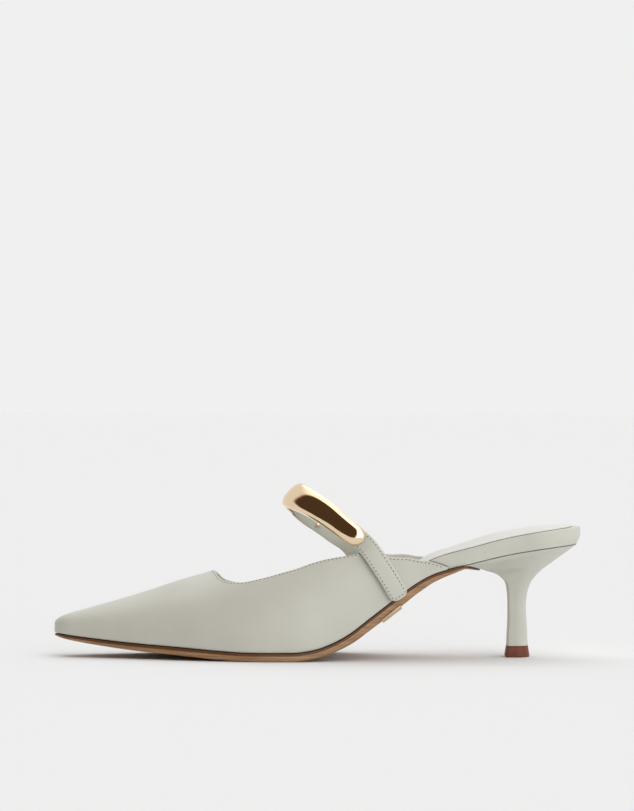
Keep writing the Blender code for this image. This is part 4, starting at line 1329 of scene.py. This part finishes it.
def build_stud(name, distance, node):
    point, normal, width = strap_at(distance)
    bm = bmesh.new()
    bmesh.ops.create_uvsphere(bm, u_segments=32, v_segments=16, radius=STUD_RADIUS)
    bm.transform(Matrix.Diagonal((1.0, 1.0, STUD_HEIGHT / STUD_RADIUS, 1.0)))
    seat = point - normal * (STRAP_THICKNESS / 2.0 + FIT_GAP) - width * STUD_DROP
    turn = (-normal).to_track_quat("Z", "Y").to_matrix().to_4x4()
    bm.transform(Matrix.Translation(seat) @ turn)
    piece = add_piece(name, bm, [GOLD])
    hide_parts(node)


def build_plate():
    """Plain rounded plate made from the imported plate's own box corners."""
    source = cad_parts["waist_plate"]
    bm = bmesh.new()
    bm.from_mesh(source.data)
    bmesh.ops.remove_doubles(bm, verts=bm.verts, dist=0.00001)
    bmesh.ops.dissolve_limit(bm, angle_limit=0.05, verts=bm.verts, edges=bm.edges)
    bmesh.ops.bevel(bm, geom=bm.edges[:], offset=PLATE_BEVEL, segments=3, profile=0.5,
                    affect="EDGES")
    piece = add_piece("waist_plate_plain", bm, [GOLD], 40.0)
    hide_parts("waist_plate")


# Stage, light and camera
def build_floor():
    """Wide pale floor that meets a background of the same brightness at the horizon."""
    bm = bmesh.new()
    reach = FLOOR_REACH
    corners = ((-reach, -reach), (reach, -reach), (reach, reach), (-reach, reach))
    bm.faces.new([bm.verts.new((x, y, 0.0)) for x, y in corners])
    mesh = bpy.data.meshes.new("studio_floor")
    bm.to_mesh(mesh)
    bm.free()
    material, tree, shader = new_material("studio_paper")
    shader.inputs["Base Color"].default_value = (*FLOOR_COLOR, 1.0)
    shader.inputs["Roughness"].default_value = 1.0
    shader.inputs["Specular IOR Level"].default_value = 0.0
    mesh.materials.append(material)
    floor = bpy.data.objects.new("studio_floor", mesh)
    bpy.context.scene.collection.objects.link(floor)


def math_node(tree, operation, first, second):
    node = tree.nodes.new("ShaderNodeMath")
    node.operation = operation
    for socket, value in zip(node.inputs, (first, second)):
        if isinstance(value, float):
            socket.default_value = value
        else:
            tree.links.new(value, socket)
    return node.outputs[0]


def ease_between(tree, value, low, high):
    node = tree.nodes.new("ShaderNodeMapRange")
    node.interpolation_type = "SMOOTHSTEP"
    node.inputs["From Min"].default_value = low
    node.inputs["From Max"].default_value = high
    tree.links.new(value, node.inputs["Value"])
    return node.outputs["Result"]


def facing(tree, coords, towards):
    """How nearly a direction of the world points towards another, as a cosine."""
    node = tree.nodes.new("ShaderNodeVectorMath")
    node.operation = "DOT_PRODUCT"
    node.inputs[1].default_value = Vector(towards).normalized()
    tree.links.new(coords.outputs["Generated"], node.inputs[0])
    return node.outputs["Value"]


def build_world():
    """Pale studio all round, brighter overhead and in the fill, dark and warm in the room."""
    world = bpy.data.worlds.new("studio")
    bpy.context.scene.world = world
    world.use_nodes = True
    tree = world.node_tree
    background = tree.nodes["Background"]
    coords = tree.nodes.new("ShaderNodeTexCoord")
    split = tree.nodes.new("ShaderNodeSeparateXYZ")
    tree.links.new(coords.outputs["Generated"], split.inputs["Vector"])
    overhead = ease_between(tree, split.outputs["Z"], CAP_START, CAP_FULL)
    fill = ease_between(tree, facing(tree, coords, FILL_TOWARDS), FILL_START, FILL_FULL)
    room = ease_between(tree, facing(tree, coords, ROOM_TOWARDS), ROOM_START, ROOM_FULL)
    level = math_node(tree, "MULTIPLY", overhead, CAP_LIGHT - HORIZON_LIGHT)
    level = math_node(tree, "ADD", level, HORIZON_LIGHT)
    level = math_node(tree, "ADD", level, math_node(tree, "MULTIPLY", fill, FILL_LIGHT))
    lit = math_node(tree, "SUBTRACT", 1.0, room)
    level = math_node(tree, "MULTIPLY", level, lit)
    level = math_node(tree, "ADD", level, math_node(tree, "MULTIPLY", room, ROOM_LIGHT))
    tone = tree.nodes.new("ShaderNodeMix")
    tone.data_type = "RGBA"
    tone.inputs["A"].default_value = (1.0, 1.0, 1.0, 1.0)
    tone.inputs["B"].default_value = (*ROOM_COLOR, 1.0)
    tree.links.new(room, tone.inputs["Factor"])
    tree.links.new(tone.outputs["Result"], background.inputs["Color"])
    tree.links.new(level, background.inputs["Strength"])


def add_sun(name, direction, strength, spread_degrees):
    data = bpy.data.lights.new(name, "SUN")
    data.energy = strength
    data.angle = math.radians(spread_degrees)
    sun = bpy.data.objects.new(name, data)
    sun.location = (CAMERA_X, 0.0, 1.0)
    sun.rotation_euler = (-Vector(direction)).to_track_quat("-Z", "Y").to_euler()
    bpy.context.scene.collection.objects.link(sun)


def build_camera():
    data = bpy.data.cameras.new("photo_camera")
    data.sensor_width = SENSOR_MM
    frame_height = PHOTO_HEIGHT_PX * PHOTO_MM_PER_PX / 1000.0
    data.lens = SENSOR_MM * CAMERA_DISTANCE / frame_height
    data.clip_start = 0.05
    data.clip_end = 50.0
    camera = bpy.data.objects.new("photo_camera", data)
    camera.location = (CAMERA_X, -CAMERA_DISTANCE, CAMERA_Z)
    camera.rotation_euler = (math.pi / 2.0, 0.0, 0.0)
    bpy.context.scene.collection.objects.link(camera)
    bpy.context.scene.camera = camera


build_camera()
build_world()
build_floor()
add_sun("soft_key", SUN_TOWARDS, SUN_LIGHT, SUN_SPREAD_DEGREES)
bpy.context.scene.view_settings.view_transform = "Standard"

build_upper()
build_upper_stitches()
build_tail_shadow_lines()
build_outsole()
build_insole()
build_sock()
build_heel()
build_heel_tip()
build_strap()
build_strap_stitches()
build_ornament()
build_stud("rivet_near_head", STRAP_PATH.crest - ORNAMENT_NEAR + STUD_INSET, "rivet_near")
build_stud("rivet_far_head", STRAP_PATH.crest + ORNAMENT_FAR - STUD_INSET, "rivet_far")
build_plate()
